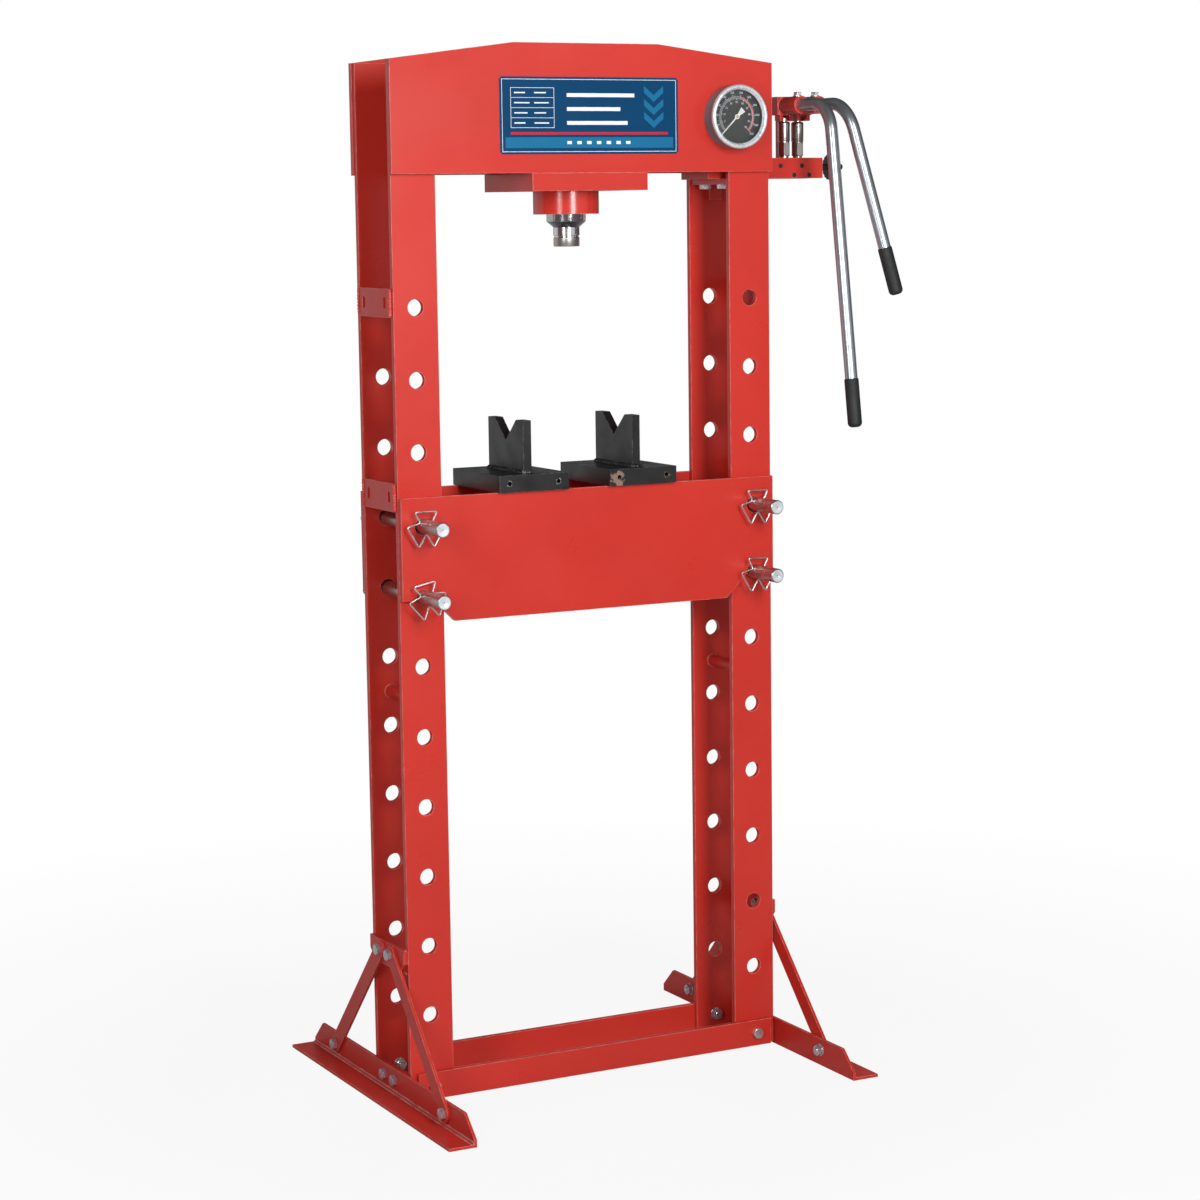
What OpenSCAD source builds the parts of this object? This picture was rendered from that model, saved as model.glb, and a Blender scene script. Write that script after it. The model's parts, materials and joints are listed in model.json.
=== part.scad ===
// Floor-standing hydraulic shop press with a hand pump of two levers.
// Millimetres. The origin is on the floor under the ram axis, +Z up, -Y towards the operator.

/* [Columns] */
// Distance from the ram axis to each column's line of pin holes
column_x = 319; // [280:1:360]
// Width of an upright bar
bar_w = 80; // [70:1:90]
// Thickness of an upright bar
bar_t = 10; // [8:0.5:14]
// Clear gap between the front and the rear bar of a column
bar_gap = 130; // [124:1:140]
// Height of the lower end of the bars above the floor
bar_foot_z = 5; // [0:1:12]
// Height of the top pin hole above the floor
top_hole_z = 1350; // [1340:1:1400]
// Pitch of the pin holes
hole_pitch = 120; // [110:1:125]
// Number of pin holes in a bar
hole_count = 11; // [8:1:11]
// Diameter of the pin holes
hole_d = 28; // [26.5:0.1:32]
// Diameter of the tie rod between the bars
tie_d = 22; // [14:1:30]
// Number of hole pitches from the top hole down to the tie rod
tie_steps = 5.5; // [5.5:1:7.5]

/* [Side plates] */
// Thickness of the slotted batten plates
batten_t = 6; // [4:0.5:10]
// Height of a batten plate
batten_h = 48; // [36:1:60]
// How far the side plates stand proud of the bars
plate_proud = 2; // [0:0.5:4]
// Height of the middle of the upper batten above the floor
upper_batten_z = 1358; // [1330:1:1400]
// Height of the middle of the lower batten above the floor
lower_batten_z = 1036; // [1000:1:1060]
// Width of a batten slot
slot_w = 11; // [5:0.5:14]
// Length of a batten slot
slot_h = 20; // [16:0.5:26]
// Distance between the two slots of a batten
slot_pitch = 86; // [70:1:100]

/* [Head] */
// Height of the lower edge of the head plates above the floor
head_z = 1568; // [1560:1:1640]
// Thickness of a head plate
head_t = 10; // [8:0.5:14]
// Height of a head plate at its ends
head_end_h = 186; // [182:1:220]
// Extra height of a head plate at its crown
crown_rise = 29; // [10:1:50]
// Length of the flat top of the crown
crown_w = 274; // [150:1:400]
// How far a head plate passes the outer edge of the bars
head_over = 2; // [0:0.5:6]
// Distance from the ram axis to the middle of a head web
web_x = 150; // [120:1:175]
// Thickness of a head web
web_t = 10; // [6:0.5:14]
// Height of the webs' lower edge above the head plates' lower edge
web_rise = 20; // [5:1:40]

/* [Bed] */
// Thickness of a bed plate
bed_t = 10; // [8:0.5:14]
// Pin hole that carries the upper bed pins, the top hole being 0
bed_hole = 3; // [2:1:4]
// Height of the bed top above the upper pin holes
bed_rise = 46; // [36:1:60]
// How far a bed plate's end reaches below the lower pin holes
bed_end_drop = 6; // [2:1:10]
// How far the middle of a bed plate reaches below its ends
bed_keel = 39; // [20:1:60]
// Length of the level end of a bed plate's lower edge
bed_end_w = 56; // [54:1:70]
// How far the ends of a bed plate stay inside the bars' outer edge
bed_inset = 1; // [0:0.5:4]
// Distance from the ram axis to each bed spacer
bed_spacer_x = 205; // [180:1:220]
// Thickness of a bed spacer
bed_spacer_t = 10; // [6:0.5:16]
// Height of a bed spacer
bed_spacer_h = 120; // [80:1:150]
// Depth of a bed spacer's top edge below the bed top
bed_spacer_low = 40; // [20:1:50]

/* [Bed pins] */
// Diameter of a bed pin
pin_d = 25; // [20:0.1:26]
// Length of a pin in front of the bed
pin_front = 82; // [50:1:110]
// Length of a pin behind the bed
pin_rear = 42; // [30:1:70]
// Chamfer on a pin's ends
pin_chamfer = 1.5; // [0.5:0.1:3]
// Diameter of the clip wire
wire_d = 3; // [2:0.1:4]
// Distance of the clips from the bed plates
clip_stand = 15; // [10:0.5:20]
// Distance of a clip lobe's outer side from the pin axis
lobe_reach = 28; // [22:0.5:34]
// Width of a clip lobe's outer side
lobe_w = 41; // [30:0.5:44]
// How far the outer ends of a clip's lobes sag
lobe_sag = 3; // [0:0.5:5]

/* [Feet and braces] */
// Length of a foot
foot_len = 686; // [560:2:900]
// Width of a foot's flat leg
foot_w = 50; // [40:1:70]
// Height of a foot's upright leg
foot_h = 48; // [42:1:60]
// Thickness of a foot's legs
foot_t = 5; // [4:0.5:8]
// Height at which the slanted end of the upright leg starts
foot_end_h = 13; // [8:1:20]
// Length of the slanted end of the upright leg
foot_slant = 38; // [20:1:60]
// Thickness of the tab that a foot is bolted to
tab_t = 8; // [5:0.5:12]
// Height of the tab
tab_h = 42; // [38:1:60]
// Distance between the two bolts of a tab or bracket
tab_bolt_pitch = 45; // [36:1:60]
// Height of the foot and rail bolts above the floor
low_bolt_z = 28; // [27:0.5:30]
// Distance from the middle of a foot to a brace's lower bolt
brace_y = 234; // [160:1:280]
// Height of the brace bracket's bolts above the floor
bracket_z = 250; // [180:1:300]
// Width of a brace
brace_w = 30; // [24:1:36]
// Thickness of a brace
brace_t = 5; // [4:0.5:8]
// Height of a base rail
rail_h = 47; // [40:1:48]
// How much lower the rear base rail sits
rear_rail_drop = 3.5; // [0:0.5:4]
// Thickness of a base rail
rail_t = 10; // [6:0.5:14]
// How far a base rail ends inside the bars' outer edge
rail_inset = 11; // [0:1:20]
// Diameter of the frame bolts
bolt_d = 12; // [8:1:14]
// Width across the flats of the frame bolts' heads
bolt_af = 18; // [16:0.5:22]
// Height of a bolt head
bolt_head_h = 8; // [5:0.5:10]
// How far a bolt stands out of its nut
bolt_tail = 2; // [1:0.5:4]
// Height of a nut
nut_h = 10; // [6:0.5:12]

/* [Ram] */
// Length of the ram plate along the head
ram_plate_x = 218; // [180:1:260]
// Depth of the ram plate from front to back
ram_plate_y = 188; // [176:1:220]
// Thickness of the ram plate
ram_plate_t = 30; // [20:1:40]
// Outer diameter of the ram cylinder
cylinder_d = 113; // [108:1:124]
// Bore of the ram cylinder
cylinder_bore = 84; // [78:0.5:90]
// Length of cylinder below the ram plate
cylinder_low = 39; // [30:1:60]
// Length of the gland in the cylinder's mouth
gland_h = 40; // [25:1:45]
// Diameter of the ram rod
rod_d = 68; // [60:0.5:72]
// Bore of the ram rod
rod_bore = 42; // [38:0.5:46]
// Straight length of rod below the cylinder
rod_show = 12; // [6:1:30]
// Height of the cone below the rod
rod_cone_h = 10; // [5:0.5:20]
// Diameter of the press nose
nose_d = 45; // [38:0.5:50]
// Length of the press nose
nose_h = 33; // [25:1:50]
// Height of the groove above the nose's face
groove_z = 17; // [8:1:22]
// Length of the piston
piston_h = 30; // [20:1:36]
// Stroke of the ram
ram_stroke = 150; // [100:1:160]
// Thickness of the cylinder cap's flange
cap_h = 15; // [13:1:20]
// Depth of the cap's plug inside the cylinder
cap_plug = 9; // [5:0.5:10]
// Wire of the return spring
spring_wire = 4; // [3:0.5:5]
// Mean diameter of the return spring
spring_d = 30; // [24:1:32]
// Number of turns of the return spring
spring_turns = 16; // [8:1:20]

/* [Pump] */
// Distance from the ram axis to the inner pump
pump_x = 436; // [432:1:450]
// Distance between the two pumps
pump_pitch = 36; // [35:1:44]
// How far the outer pump stands behind the inner one
outer_pump_back = 13; // [8:0.5:14]
// Height of the lever axis above the pump block
lever_rise = 91.5; // [88:0.5:110]
// Height of the pump block
block_h = 36; // [30:1:50]
// Front face of the pump block, in front of the pumps
block_front = 40; // [24:1:60]
// Rear face of the pump block, behind the pumps
block_rear = 56; // [54:1:62]
// Distance of the block's left end from the ram axis
block_left_x = 258; // [250:1:262]
// Length of block past the outer pump
block_end = 20; // [16:1:40]
// Thickness of the plate under the pump block
bracket_plate_t = 9; // [6:0.5:14]
// Diameter of a pump barrel
barrel_d = 22; // [18:0.5:24]
// Height of a pump barrel
barrel_h = 60; // [50:0.5:63]
// Height of the neck under a pump barrel
barrel_neck_h = 4; // [2:0.5:6]
// Height of the flats on a pump barrel
barrel_flat_h = 24; // [10:1:30]
// Diameter of a pump plunger
plunger_d = 12; // [8:0.5:12]
// Depth of a plunger's lower end inside its barrel
plunger_in = 43; // [30:1:48]
// Distance of the lever pivot behind the plungers
pivot_y = 38; // [34:0.5:42]
// Diameter of the lever pivot pin
pivot_d = 12; // [8:0.5:14]
// Thickness of a pivot post
post_t = 10; // [6:0.5:10]
// Depth of a pivot post from front to back
post_y = 24; // [20:1:30]
// Outer diameter of a lever socket
socket_d = 31; // [29:0.5:32]
// Length of the socket in front of the plungers
socket_front = 62; // [50:1:80]
// Width of a lever's block
lever_block_w = 34; // [32:0.5:34]
// Height of a lever's block
lever_block_h = 32; // [28:0.5:34]
// Length of a lever's block in front of the inner plunger
lever_block_y = 8; // [4:1:12]
// Length of a lever's block behind the inner plunger
lever_block_back = 20; // [20:0.5:22]
// Depth of handle inside the socket
handle_in = 46; // [30:1:50]
// Height of a lever's pivot boss
boss_d = 24; // [20:1:26]
// Width of a lever's pivot boss
boss_w = 24; // [20:0.5:24]
// Thickness of a fork cheek
cheek_t = 6; // [4:0.5:7]
// Outer diameter of a handle tube
handle_d = 22; // [18:0.5:23]
// Wall of a handle tube
handle_wall = 2.5; // [1.5:0.1:4]
// Length of straight tube in front of the plungers before the bend
handle_bend_y = 105; // [90:1:130]
// Bend radius of a handle's centre line
handle_bend_r = 55; // [40:1:80]
// Angle through which a handle is bent
handle_bend_deg = 81.7; // [75:0.1:90]
// Length of the inner handle below the bend
inner_leg = 510; // [300:1:700]
// Length of the outer handle below the bend
outer_leg = 290; // [200:1:500]
// Sideways turn of the outer handle in its socket
outer_splay = 12; // [5:0.5:20]
// Outer diameter of a grip
grip_d = 25; // [24:0.5:30]
// Length of a grip
grip_len = 84; // [60:1:120]
// Wall at the closed end of a grip
grip_end = 5; // [3:0.5:8]
// Diameter of the release knob
knob_d = 46; // [36:0.5:50]
// Thickness of the release knob
knob_t = 9; // [6:0.5:14]
// Distance of the release knob from the pump block
knob_out = 33; // [20:0.5:37]
// Number of flutes round the release knob
knob_flutes = 18; // [12:1:24]
// Diameter of the release spindle
spindle_d = 11; // [8:0.5:14]
// Length of spindle outside the pump block
spindle_out = 55; // [42:1:60]
// Width of the oil tank along the head
tank_x = 64; // [50:1:66]
// Depth of the oil tank from front to back
tank_y = 118; // [90:1:122]
// Height of the oil tank
tank_h = 140; // [100:1:150]
// Wall of the oil tank
tank_wall = 3; // [2:0.5:6]
// Outer diameter of the oil pipes
pipe_d = 10; // [8:0.5:12]
// Wall of the oil pipes
pipe_wall = 2; // [1.5:0.1:3]

/* [Gauge] */
// Distance from the ram axis to the gauge's centre
gauge_x = 278; // [270:1:290]
// Height of the gauge's centre above the head plates' lower edge
gauge_rise = 93; // [80:1:110]
// Outer diameter of the gauge bezel
bezel_d = 109; // [100:0.5:112]
// Width of the bezel's front lip
bezel_lip = 7; // [4:0.5:10]
// Depth of the bezel from back to front
bezel_h = 13; // [11:0.5:16]
// Wall of the bezel round the gauge case
bezel_wall = 2; // [1.5:0.1:4]
// Depth of the gauge case
case_h = 28; // [24:0.5:36]
// Wall of the gauge case
case_wall = 3; // [2:0.5:5]
// Diameter of the gauge stem
stem_d = 14; // [10:0.5:16]
// Length of the needle from its pivot to its tip
needle_len = 42; // [25:1:43]

/* [V blocks] */
// Place of the left V block along the bed
v_left_x = -115; // [-140:1:-100]
// Place of the right V block along the bed
v_right_x = 94; // [80:1:140]
// Width of a V block's base along the bed
v_base_x = 130; // [100:1:140]
// Depth of a V block's base across the bed
v_base_y = 188; // [176:1:220]
// Thickness of a V block's base
v_base_h = 29; // [15:1:40]
// Thickness of a V block's upright plate
v_plate_t = 15; // [10:0.5:24]
// Depth of the upright plate across the bed
v_plate_y = 137; // [110:1:160]
// Height of the upright plate above its base
v_plate_h = 89; // [70:1:120]
// Width of the V notch at its top
v_open = 82; // [50:1:90]
// Depth of the V notch
v_depth = 37; // [20:1:50]
// Diameter of the tapped lifting holes in the base
v_tap_d = 8; // [5:0.5:10]

/* [Fits] */
// Radial clearance of a running fit
run_clear = 0.05; // [0.02:0.01:0.09]
// Gap between round faces of two pieces that don't rub
seat_gap = 0.3; // [0.2:0.05:0.5]
// Radial clearance of a bolt in its hole
bolt_clear = 0.5; // [0.2:0.1:1]

/* [Hidden] */
$fn = 48;
eps = 1;

paint = [0.80, 0.16, 0.14];
zinc = [0.75, 0.76, 0.78];
steel = [0.66, 0.66, 0.67];
chrome = [0.84, 0.85, 0.87];
black = [0.10, 0.10, 0.11];

bar_in_x = column_x - bar_w / 2;
bar_out_x = column_x + bar_w / 2;
bar_in_y = bar_gap / 2;
bar_out_y = bar_in_y + bar_t;
side_x = bar_out_x + plate_proud;
head_top_z = head_z + head_end_h;
head_half = bar_out_x + head_over;
web_short = 5;

function hole_z(k) = top_hole_z - k * hole_pitch;
tie_z = hole_z(tie_steps);

upper_pin_z = hole_z(bed_hole);
lower_pin_z = hole_z(bed_hole + 1);
bed_top_z = upper_pin_z + bed_rise;
bed_end_z = lower_pin_z - bed_end_drop;
bed_low_z = bed_end_z - bed_keel;
bed_half = bar_out_x - bed_inset;
bed_out_y = bar_out_y + bed_t;
pin_sag = (hole_d - pin_d) / 2 - seat_gap;
clip_y = bed_out_y + clip_stand;

brace_x = side_x + foot_t;
bracket_t = brace_x - bar_out_x;
bracket_low = 25;
bracket_high = 16;
bracket_cut = 18;
bracket_inset = 3;
bracket_half_y = bar_out_y - bracket_inset;
brace_top_y = tab_bolt_pitch / 2;
rail_out_y = bar_out_y + rail_t;
rail_z = low_bolt_z - rail_h / 2;
bolt_hole_d = bolt_d + 2 * bolt_clear;

ram_plate_z = head_z - ram_plate_t;
cylinder_z = ram_plate_z - cylinder_low;
stroke_spare = 3;
piston_gap = 4;
cylinder_top_z = cylinder_z + gland_h + stroke_spare + ram_stroke + piston_h + piston_gap + cap_plug;
rod_end_z = cylinder_z - rod_show;
nose_top_z = rod_end_z - rod_cone_h;
nose_z = nose_top_z - nose_h;
piston_top_z = cylinder_top_z - cap_plug - piston_gap;
rod_floor_rise = 21;
rod_floor_z = cylinder_z + rod_floor_rise;
nose_screw_d = 24;
nose_screw_h = 25;

block_drop = 12;
block_z = head_z - block_drop;
block_top_z = block_z + block_h;
lever_z = block_top_z + lever_rise;
outer_pump_x = pump_x + pump_pitch;
block_right_x = outer_pump_x + block_end;
pump_places = [[pump_x, 0], [outer_pump_x, outer_pump_back]];
barrel_z = block_top_z + barrel_neck_h;
barrel_top_z = barrel_z + barrel_h;
plunger_top_z = lever_z - lever_block_h / 2 - seat_gap;
cheek_clear = 1;
cheek_in = plunger_d / 2 + cheek_clear;
cheek_gap = 1.5;
cheek_low = lever_z - barrel_top_z - cheek_gap;
cheek_y = 9;
bend_end_y = handle_bend_y + handle_bend_r * sin(handle_bend_deg);
bend_end_z = handle_bend_r * (1 - cos(handle_bend_deg));
knob_y = -8;
knob_rise = 20;
knob_z = block_z + knob_rise;
spindle_in = 25;
spindle_spare = 2;
tank_inset = 5;
tank_left_x = bar_out_x - tank_x - tank_inset;
pump_bolt_x = 300;
pump_bolt_ys = [-18, 45];
bracket_z0 = block_z - bracket_plate_t;
pump_bolt_in = 22;
pump_bolt_spare = 3;
pipe_inset = 12;
pipe_x = block_left_x + pipe_inset;
pipe_in = 8;
pipe_y = 20;
pipe_bend_r = 15;
pipe_top_z = cylinder_top_z + cap_h / 2;

head_out_y = bar_out_y + head_t;
gauge_z = head_z + gauge_rise;
case_d = bezel_d - 2 * bezel_wall;
case_front_y = -head_out_y - case_h;
glass_t = 1.6;
dial_in = 9;
dial_y = case_front_y + dial_in;
dial_t = 1.5;
needle_y = dial_y - dial_t - seat_gap;
bezel_bulge = 6;
bezel_front_y = case_front_y - glass_t - bezel_bulge;
stem_end_y = -20;
gauge_pipe_y = -28;

// Shared shapes

module box(lo, hi) {
    translate(lo)
        cube(hi - lo);
}

module along_x(d, x0, x1) {
    translate([x0, 0, 0])
        rotate([0, 90, 0])
            cylinder(d = d, h = x1 - x0);
}

module along_y(d, y0, y1) {
    translate([0, y0, 0])
        rotate([-90, 0, 0])
            cylinder(d = d, h = y1 - y0);
}

module hexagon(af, h) {
    cylinder(d = af / cos(30), h = h, $fn = 6);
}

// Plate outline in X and Z, drawn from the plate's rear face towards -Y
module plate_xz(y_rear, t) {
    translate([0, y_rear, 0])
        rotate([90, 0, 0])
            linear_extrude(height = t)
                children();
}

// Bolt along +Z with its head's seat at z = 0 and its nut past the grip
module bolt(grip) {
    translate([0, 0, -bolt_head_h])
        hexagon(bolt_af, bolt_head_h);
    cylinder(d = bolt_d, h = grip + nut_h + bolt_tail);
    translate([0, 0, grip])
        hexagon(bolt_af, nut_h);
}

// Columns

module upright(side, face) {
    y0 = face < 0 ? -bar_out_y : bar_in_y;
    color(paint)
    difference() {
        translate([side * column_x - bar_w / 2, y0, bar_foot_z])
            cube([bar_w, bar_t, head_top_z - bar_foot_z]);
        for (k = [0 : hole_count - 1])
            translate([side * column_x, 0, hole_z(k)])
                along_y(hole_d, y0 - eps, y0 + bar_t + eps);
        translate([side * column_x, 0, low_bolt_z])
            along_y(bolt_hole_d, y0 - eps, y0 + bar_t + eps);
        if (side > 0 && face < 0)
            translate([gauge_x, 0, gauge_z])
                along_y(stem_d + 2 * bolt_clear, y0 - eps, y0 + bar_t + eps);
    }
}

module side_battens() {
    color(paint)
    for (side = [-1, 1], z = [lower_batten_z, upper_batten_z])
        difference() {
            translate([side * (side_x - batten_t / 2), 0, z])
                cube([batten_t, bar_gap, batten_h], center = true);
            for (y = [-slot_pitch / 2, slot_pitch / 2])
                translate([side * (side_x - batten_t / 2), y, z]) {
                    cube([batten_t + 2 * eps, slot_w, slot_h - slot_w], center = true);
                    for (end = [-1, 1])
                        translate([0, 0, end * (slot_h - slot_w) / 2])
                            along_x(slot_w, -batten_t / 2 - eps, batten_t / 2 + eps);
                }
        }
}

module column_ties() {
    color(paint)
    for (side = [-1, 1])
        translate([side * column_x, 0, tie_z])
            along_y(tie_d, -bar_in_y, bar_in_y);
}

// Head

module head_outline() {
    polygon([
        [-head_half, head_z], [head_half, head_z], [head_half, head_top_z],
        [crown_w / 2, head_top_z + crown_rise], [-crown_w / 2, head_top_z + crown_rise],
        [-head_half, head_top_z]
    ]);
}

module head_plate_front() {
    color(paint)
    difference() {
        plate_xz(-bar_out_y, head_t)
            head_outline();
        translate([gauge_x, 0, gauge_z])
            along_y(stem_d + 2 * bolt_clear, -head_out_y - eps, -bar_out_y + eps);
    }
}

module head_plate_rear() {
    color(paint)
    plate_xz(head_out_y, head_t)
        head_outline();
}

module head_webs() {
    color(paint)
    for (side = [-1, 1])
        box([side * web_x - web_t / 2, -bar_out_y, head_z + web_rise],
            [side * web_x + web_t / 2, bar_out_y, cylinder_top_z - web_short]);
}

// Base

module base_rails() {
    rail_half = bar_out_x - rail_inset;
    color(paint)
    for (face = [-1, 1])
        difference() {
            translate([-rail_half, face < 0 ? -rail_out_y : bar_out_y,
                       face < 0 ? rail_z : rail_z - rear_rail_drop])
                cube([2 * rail_half, rail_t, rail_h]);
            for (side = [-1, 1])
                translate([side * column_x, 0, low_bolt_z])
                    along_y(bolt_hole_d, -rail_out_y - eps, rail_out_y + eps);
        }
}

module rail_bolts() {
    color(zinc)
    for (side = [-1, 1], face = [-1, 1])
        translate([side * column_x, face * rail_out_y, low_bolt_z])
            rotate([face * 90, 0, 0])
                bolt(rail_t + bar_t);
}

module foot_tabs() {
    color(paint)
    for (side = [-1, 1])
        difference() {
            translate([side * (side_x - tab_t / 2), 0, bar_foot_z + tab_h / 2])
                cube([tab_t, bar_gap, tab_h], center = true);
            for (y = [-tab_bolt_pitch / 2, tab_bolt_pitch / 2])
                translate([0, y, low_bolt_z])
                    along_x(bolt_hole_d, -side_x - eps, side_x + eps);
        }
}

// One angle-section foot, on the right of the press
module foot() {
    half = foot_len / 2;
    difference() {
        union() {
            box([side_x, -half, 0], [side_x + foot_w, half, foot_t]);
            translate([side_x, 0, 0])
                rotate([90, 0, 90])
                    linear_extrude(height = foot_t)
                        polygon([
                            [-half, 0], [half, 0], [half, foot_end_h], [half - foot_slant, foot_h],
                            [foot_slant - half, foot_h], [-half, foot_end_h]
                        ]);
        }
        for (y = [-brace_y, -tab_bolt_pitch / 2, tab_bolt_pitch / 2, brace_y])
            translate([0, y, low_bolt_z])
                along_x(bolt_hole_d, side_x - eps, side_x + foot_t + eps);
    }
}

module feet() {
    color(paint) {
        foot();
        mirror([1, 0, 0])
            foot();
    }
}

module brace_brackets() {
    color(paint)
    for (side = [-1, 1])
        difference() {
            translate([side < 0 ? -brace_x : bar_out_x, 0, bracket_z])
                rotate([90, 0, 90])
                    linear_extrude(height = bracket_t)
                        polygon([
                            [-bracket_half_y, bracket_high], [-bracket_half_y, bracket_cut - bracket_low],
                            [bracket_cut - bracket_half_y, -bracket_low],
                            [bracket_half_y - bracket_cut, -bracket_low],
                            [bracket_half_y, bracket_cut - bracket_low], [bracket_half_y, bracket_high]
                        ]);
            for (y = [-brace_top_y, brace_top_y])
                translate([0, y, bracket_z])
                    along_x(bolt_hole_d, -brace_x - eps, brace_x + eps);
        }
}

// One brace, from its bracket bolt down to its foot bolt
module brace(side, face) {
    x0 = side < 0 ? -brace_x - brace_t : brace_x;
    run = brace_y - brace_top_y;
    drop = bracket_z - low_bolt_z;
    length = norm([run, drop]);
    translate([x0, face * brace_top_y, bracket_z])
        rotate([face * atan2(run, drop), 0, 0])
            rotate([0, 90, 0])
                linear_extrude(height = brace_t)
                    difference() {
                        union() {
                            translate([0, -brace_w / 2])
                                square([length, brace_w]);
                            for (u = [0, length])
                                translate([u, 0])
                                    circle(d = brace_w);
                        }
                        for (u = [0, length])
                            translate([u, 0])
                                circle(d = bolt_hole_d);
                    }
}

module braces() {
    color(paint)
    for (side = [-1, 1], face = [-1, 1])
        brace(side, face);
}

module foot_bolts() {
    color(zinc)
    for (side = [-1, 1], face = [-1, 1]) {
        translate([side * (side_x + foot_t), face * tab_bolt_pitch / 2, low_bolt_z])
            rotate([0, -side * 90, 0])
                bolt(foot_t + tab_t);
        translate([side * (brace_x + brace_t), face * brace_y, low_bolt_z])
            rotate([0, -side * 90, 0])
                bolt(brace_t + foot_t);
        translate([side * (brace_x + brace_t), face * brace_top_y, bracket_z])
            rotate([0, -side * 90, 0])
                bolt(brace_t + bracket_t);
    }
}

// Bed, whose pin holes hang on the pins that lie in the column holes

module bed_plate(face) {
    level_x = bed_half - bed_end_w;
    color(paint)
    difference() {
        plate_xz(face < 0 ? -bar_out_y : bed_out_y, bed_t)
            polygon([
                [-bed_half, bed_top_z], [-bed_half, bed_end_z], [-level_x, bed_end_z],
                [-level_x + bed_keel, bed_low_z], [level_x - bed_keel, bed_low_z],
                [level_x, bed_end_z], [bed_half, bed_end_z], [bed_half, bed_top_z]
            ]);
        for (side = [-1, 1], z = [upper_pin_z, lower_pin_z])
            translate([side * column_x, 0, z - 2 * pin_sag])
                along_y(hole_d, -bed_out_y - eps, bed_out_y + eps);
    }
}

module bed_spacers() {
    z1 = bed_top_z - bed_spacer_low;
    color(paint)
    for (side = [-1, 1])
        box([side * bed_spacer_x - bed_spacer_t / 2, -bar_out_y, z1 - bed_spacer_h],
            [side * bed_spacer_x + bed_spacer_t / 2, bar_out_y, z1]);
}

// Bed pins and their wire clips

module bed_pin(side, z) {
    y0 = -bed_out_y - pin_front;
    y1 = bed_out_y + pin_rear;
    tip_d = pin_d - 2 * pin_chamfer;
    color(steel)
    translate([side * column_x, 0, z - pin_sag]) {
        along_y(pin_d, y0 + pin_chamfer, y1 - pin_chamfer);
        translate([0, y0, 0])
            rotate([-90, 0, 0])
                cylinder(d1 = tip_d, d2 = pin_d, h = pin_chamfer);
        translate([0, y1 - pin_chamfer, 0])
            rotate([-90, 0, 0])
                cylinder(d1 = pin_d, d2 = tip_d, h = pin_chamfer);
    }
}

// Corners of one lobe of a clip, seen from the front, with the lobe pointing at angle a
rest_r = (pin_d + wire_d) / 2 + 0.1;
hug_deg = 54;
hug_r = rest_r / cos(60 - hug_deg);
hug_round = 1.4;
lobe_round = 5;
function lobe_corners(a, sag) = [
    hug_r * [cos(a - hug_deg), sin(a - hug_deg)],
    lobe_reach * [cos(a), sin(a)] + lobe_w / 2 * [sin(a), -cos(a)] + sag,
    lobe_reach * [cos(a), sin(a)] - lobe_w / 2 * [sin(a), -cos(a)] + sag,
    hug_r * [cos(a + hug_deg), sin(a + hug_deg)]
];
function unit(v) = v / norm(v);

// Three points that round off corner b between a and c
function round_corner(a, b, c, r) =
    let (first = b + r * unit(a - b))
    let (last = b + r * unit(c - b))
    [first, first / 4 + b / 2 + last / 4, last];

// One endless wire bent into three lobes, swept along its rounded corners
module wire_clip(turn) {
    sides = 6;
    sag = lobe_sag * [sin(turn), -cos(turn)];
    corners = [for (a = [90, 210, 330], p = lobe_corners(a + turn, sag)) p];
    count = len(corners);
    path = [for (i = [0 : count - 1], p = round_corner(corners[(i + count - 1) % count], corners[i],
        corners[(i + 1) % count], i % 4 == 0 || i % 4 == 3 ? hug_round : lobe_round)) p];
    rings = len(path);
    points = [for (i = [0 : rings - 1], j = [0 : sides - 1])
        let (ahead = unit(path[(i + 1) % rings] - path[i]))
        let (back = unit(path[i] - path[(i + rings - 1) % rings]))
        let (along = unit(ahead + back))
        let (reach = wire_d / 2 * cos(360 * j / sides) / (along * ahead))
        [path[i][0] + reach * along[1], wire_d / 2 * sin(360 * j / sides), path[i][1] - reach * along[0]]];
    faces = [for (i = [0 : rings - 1], j = [0 : sides - 1], half = [0, 1])
        let (a = i * sides + j)
        let (b = i * sides + (j + 1) % sides)
        let (c = (i + 1) % rings * sides + (j + 1) % sides)
        let (d = (i + 1) % rings * sides + j)
        half == 0 ? [a, b, c] : [a, c, d]];
    polyhedron(points = points, faces = faces);
}

module pin_clips(side, z, turn) {
    color(zinc)
    for (face = [-1, 1])
        translate([side * column_x, face * clip_y, z - pin_sag])
            wire_clip(turn);
}

// Ram

module ram_plate() {
    color(paint)
    difference() {
        box([-ram_plate_x / 2, -ram_plate_y / 2, ram_plate_z],
            [ram_plate_x / 2, ram_plate_y / 2, head_z]);
        translate([0, 0, ram_plate_z - eps])
            cylinder(d = cylinder_d, h = ram_plate_t + 2 * eps);
    }
}

module ram_cylinder() {
    color(paint)
    translate([0, 0, cylinder_z])
        difference() {
            cylinder(d = cylinder_d, h = cylinder_top_z - cylinder_z);
            translate([0, 0, -eps])
                cylinder(d = cylinder_bore, h = cylinder_top_z - cylinder_z + 2 * eps);
        }
}

module ram_cap() {
    cap_port_in = 10;
    color(steel)
    difference() {
        union() {
            translate([0, 0, cylinder_top_z])
                cylinder(d = cylinder_d, h = cap_h);
            translate([0, 0, cylinder_top_z - cap_plug])
                cylinder(d = cylinder_bore, h = cap_plug + eps);
        }
        translate([0, pipe_y, pipe_top_z])
            along_x(pipe_d, cylinder_d / 2 - cap_port_in, cylinder_d);
    }
}

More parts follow.
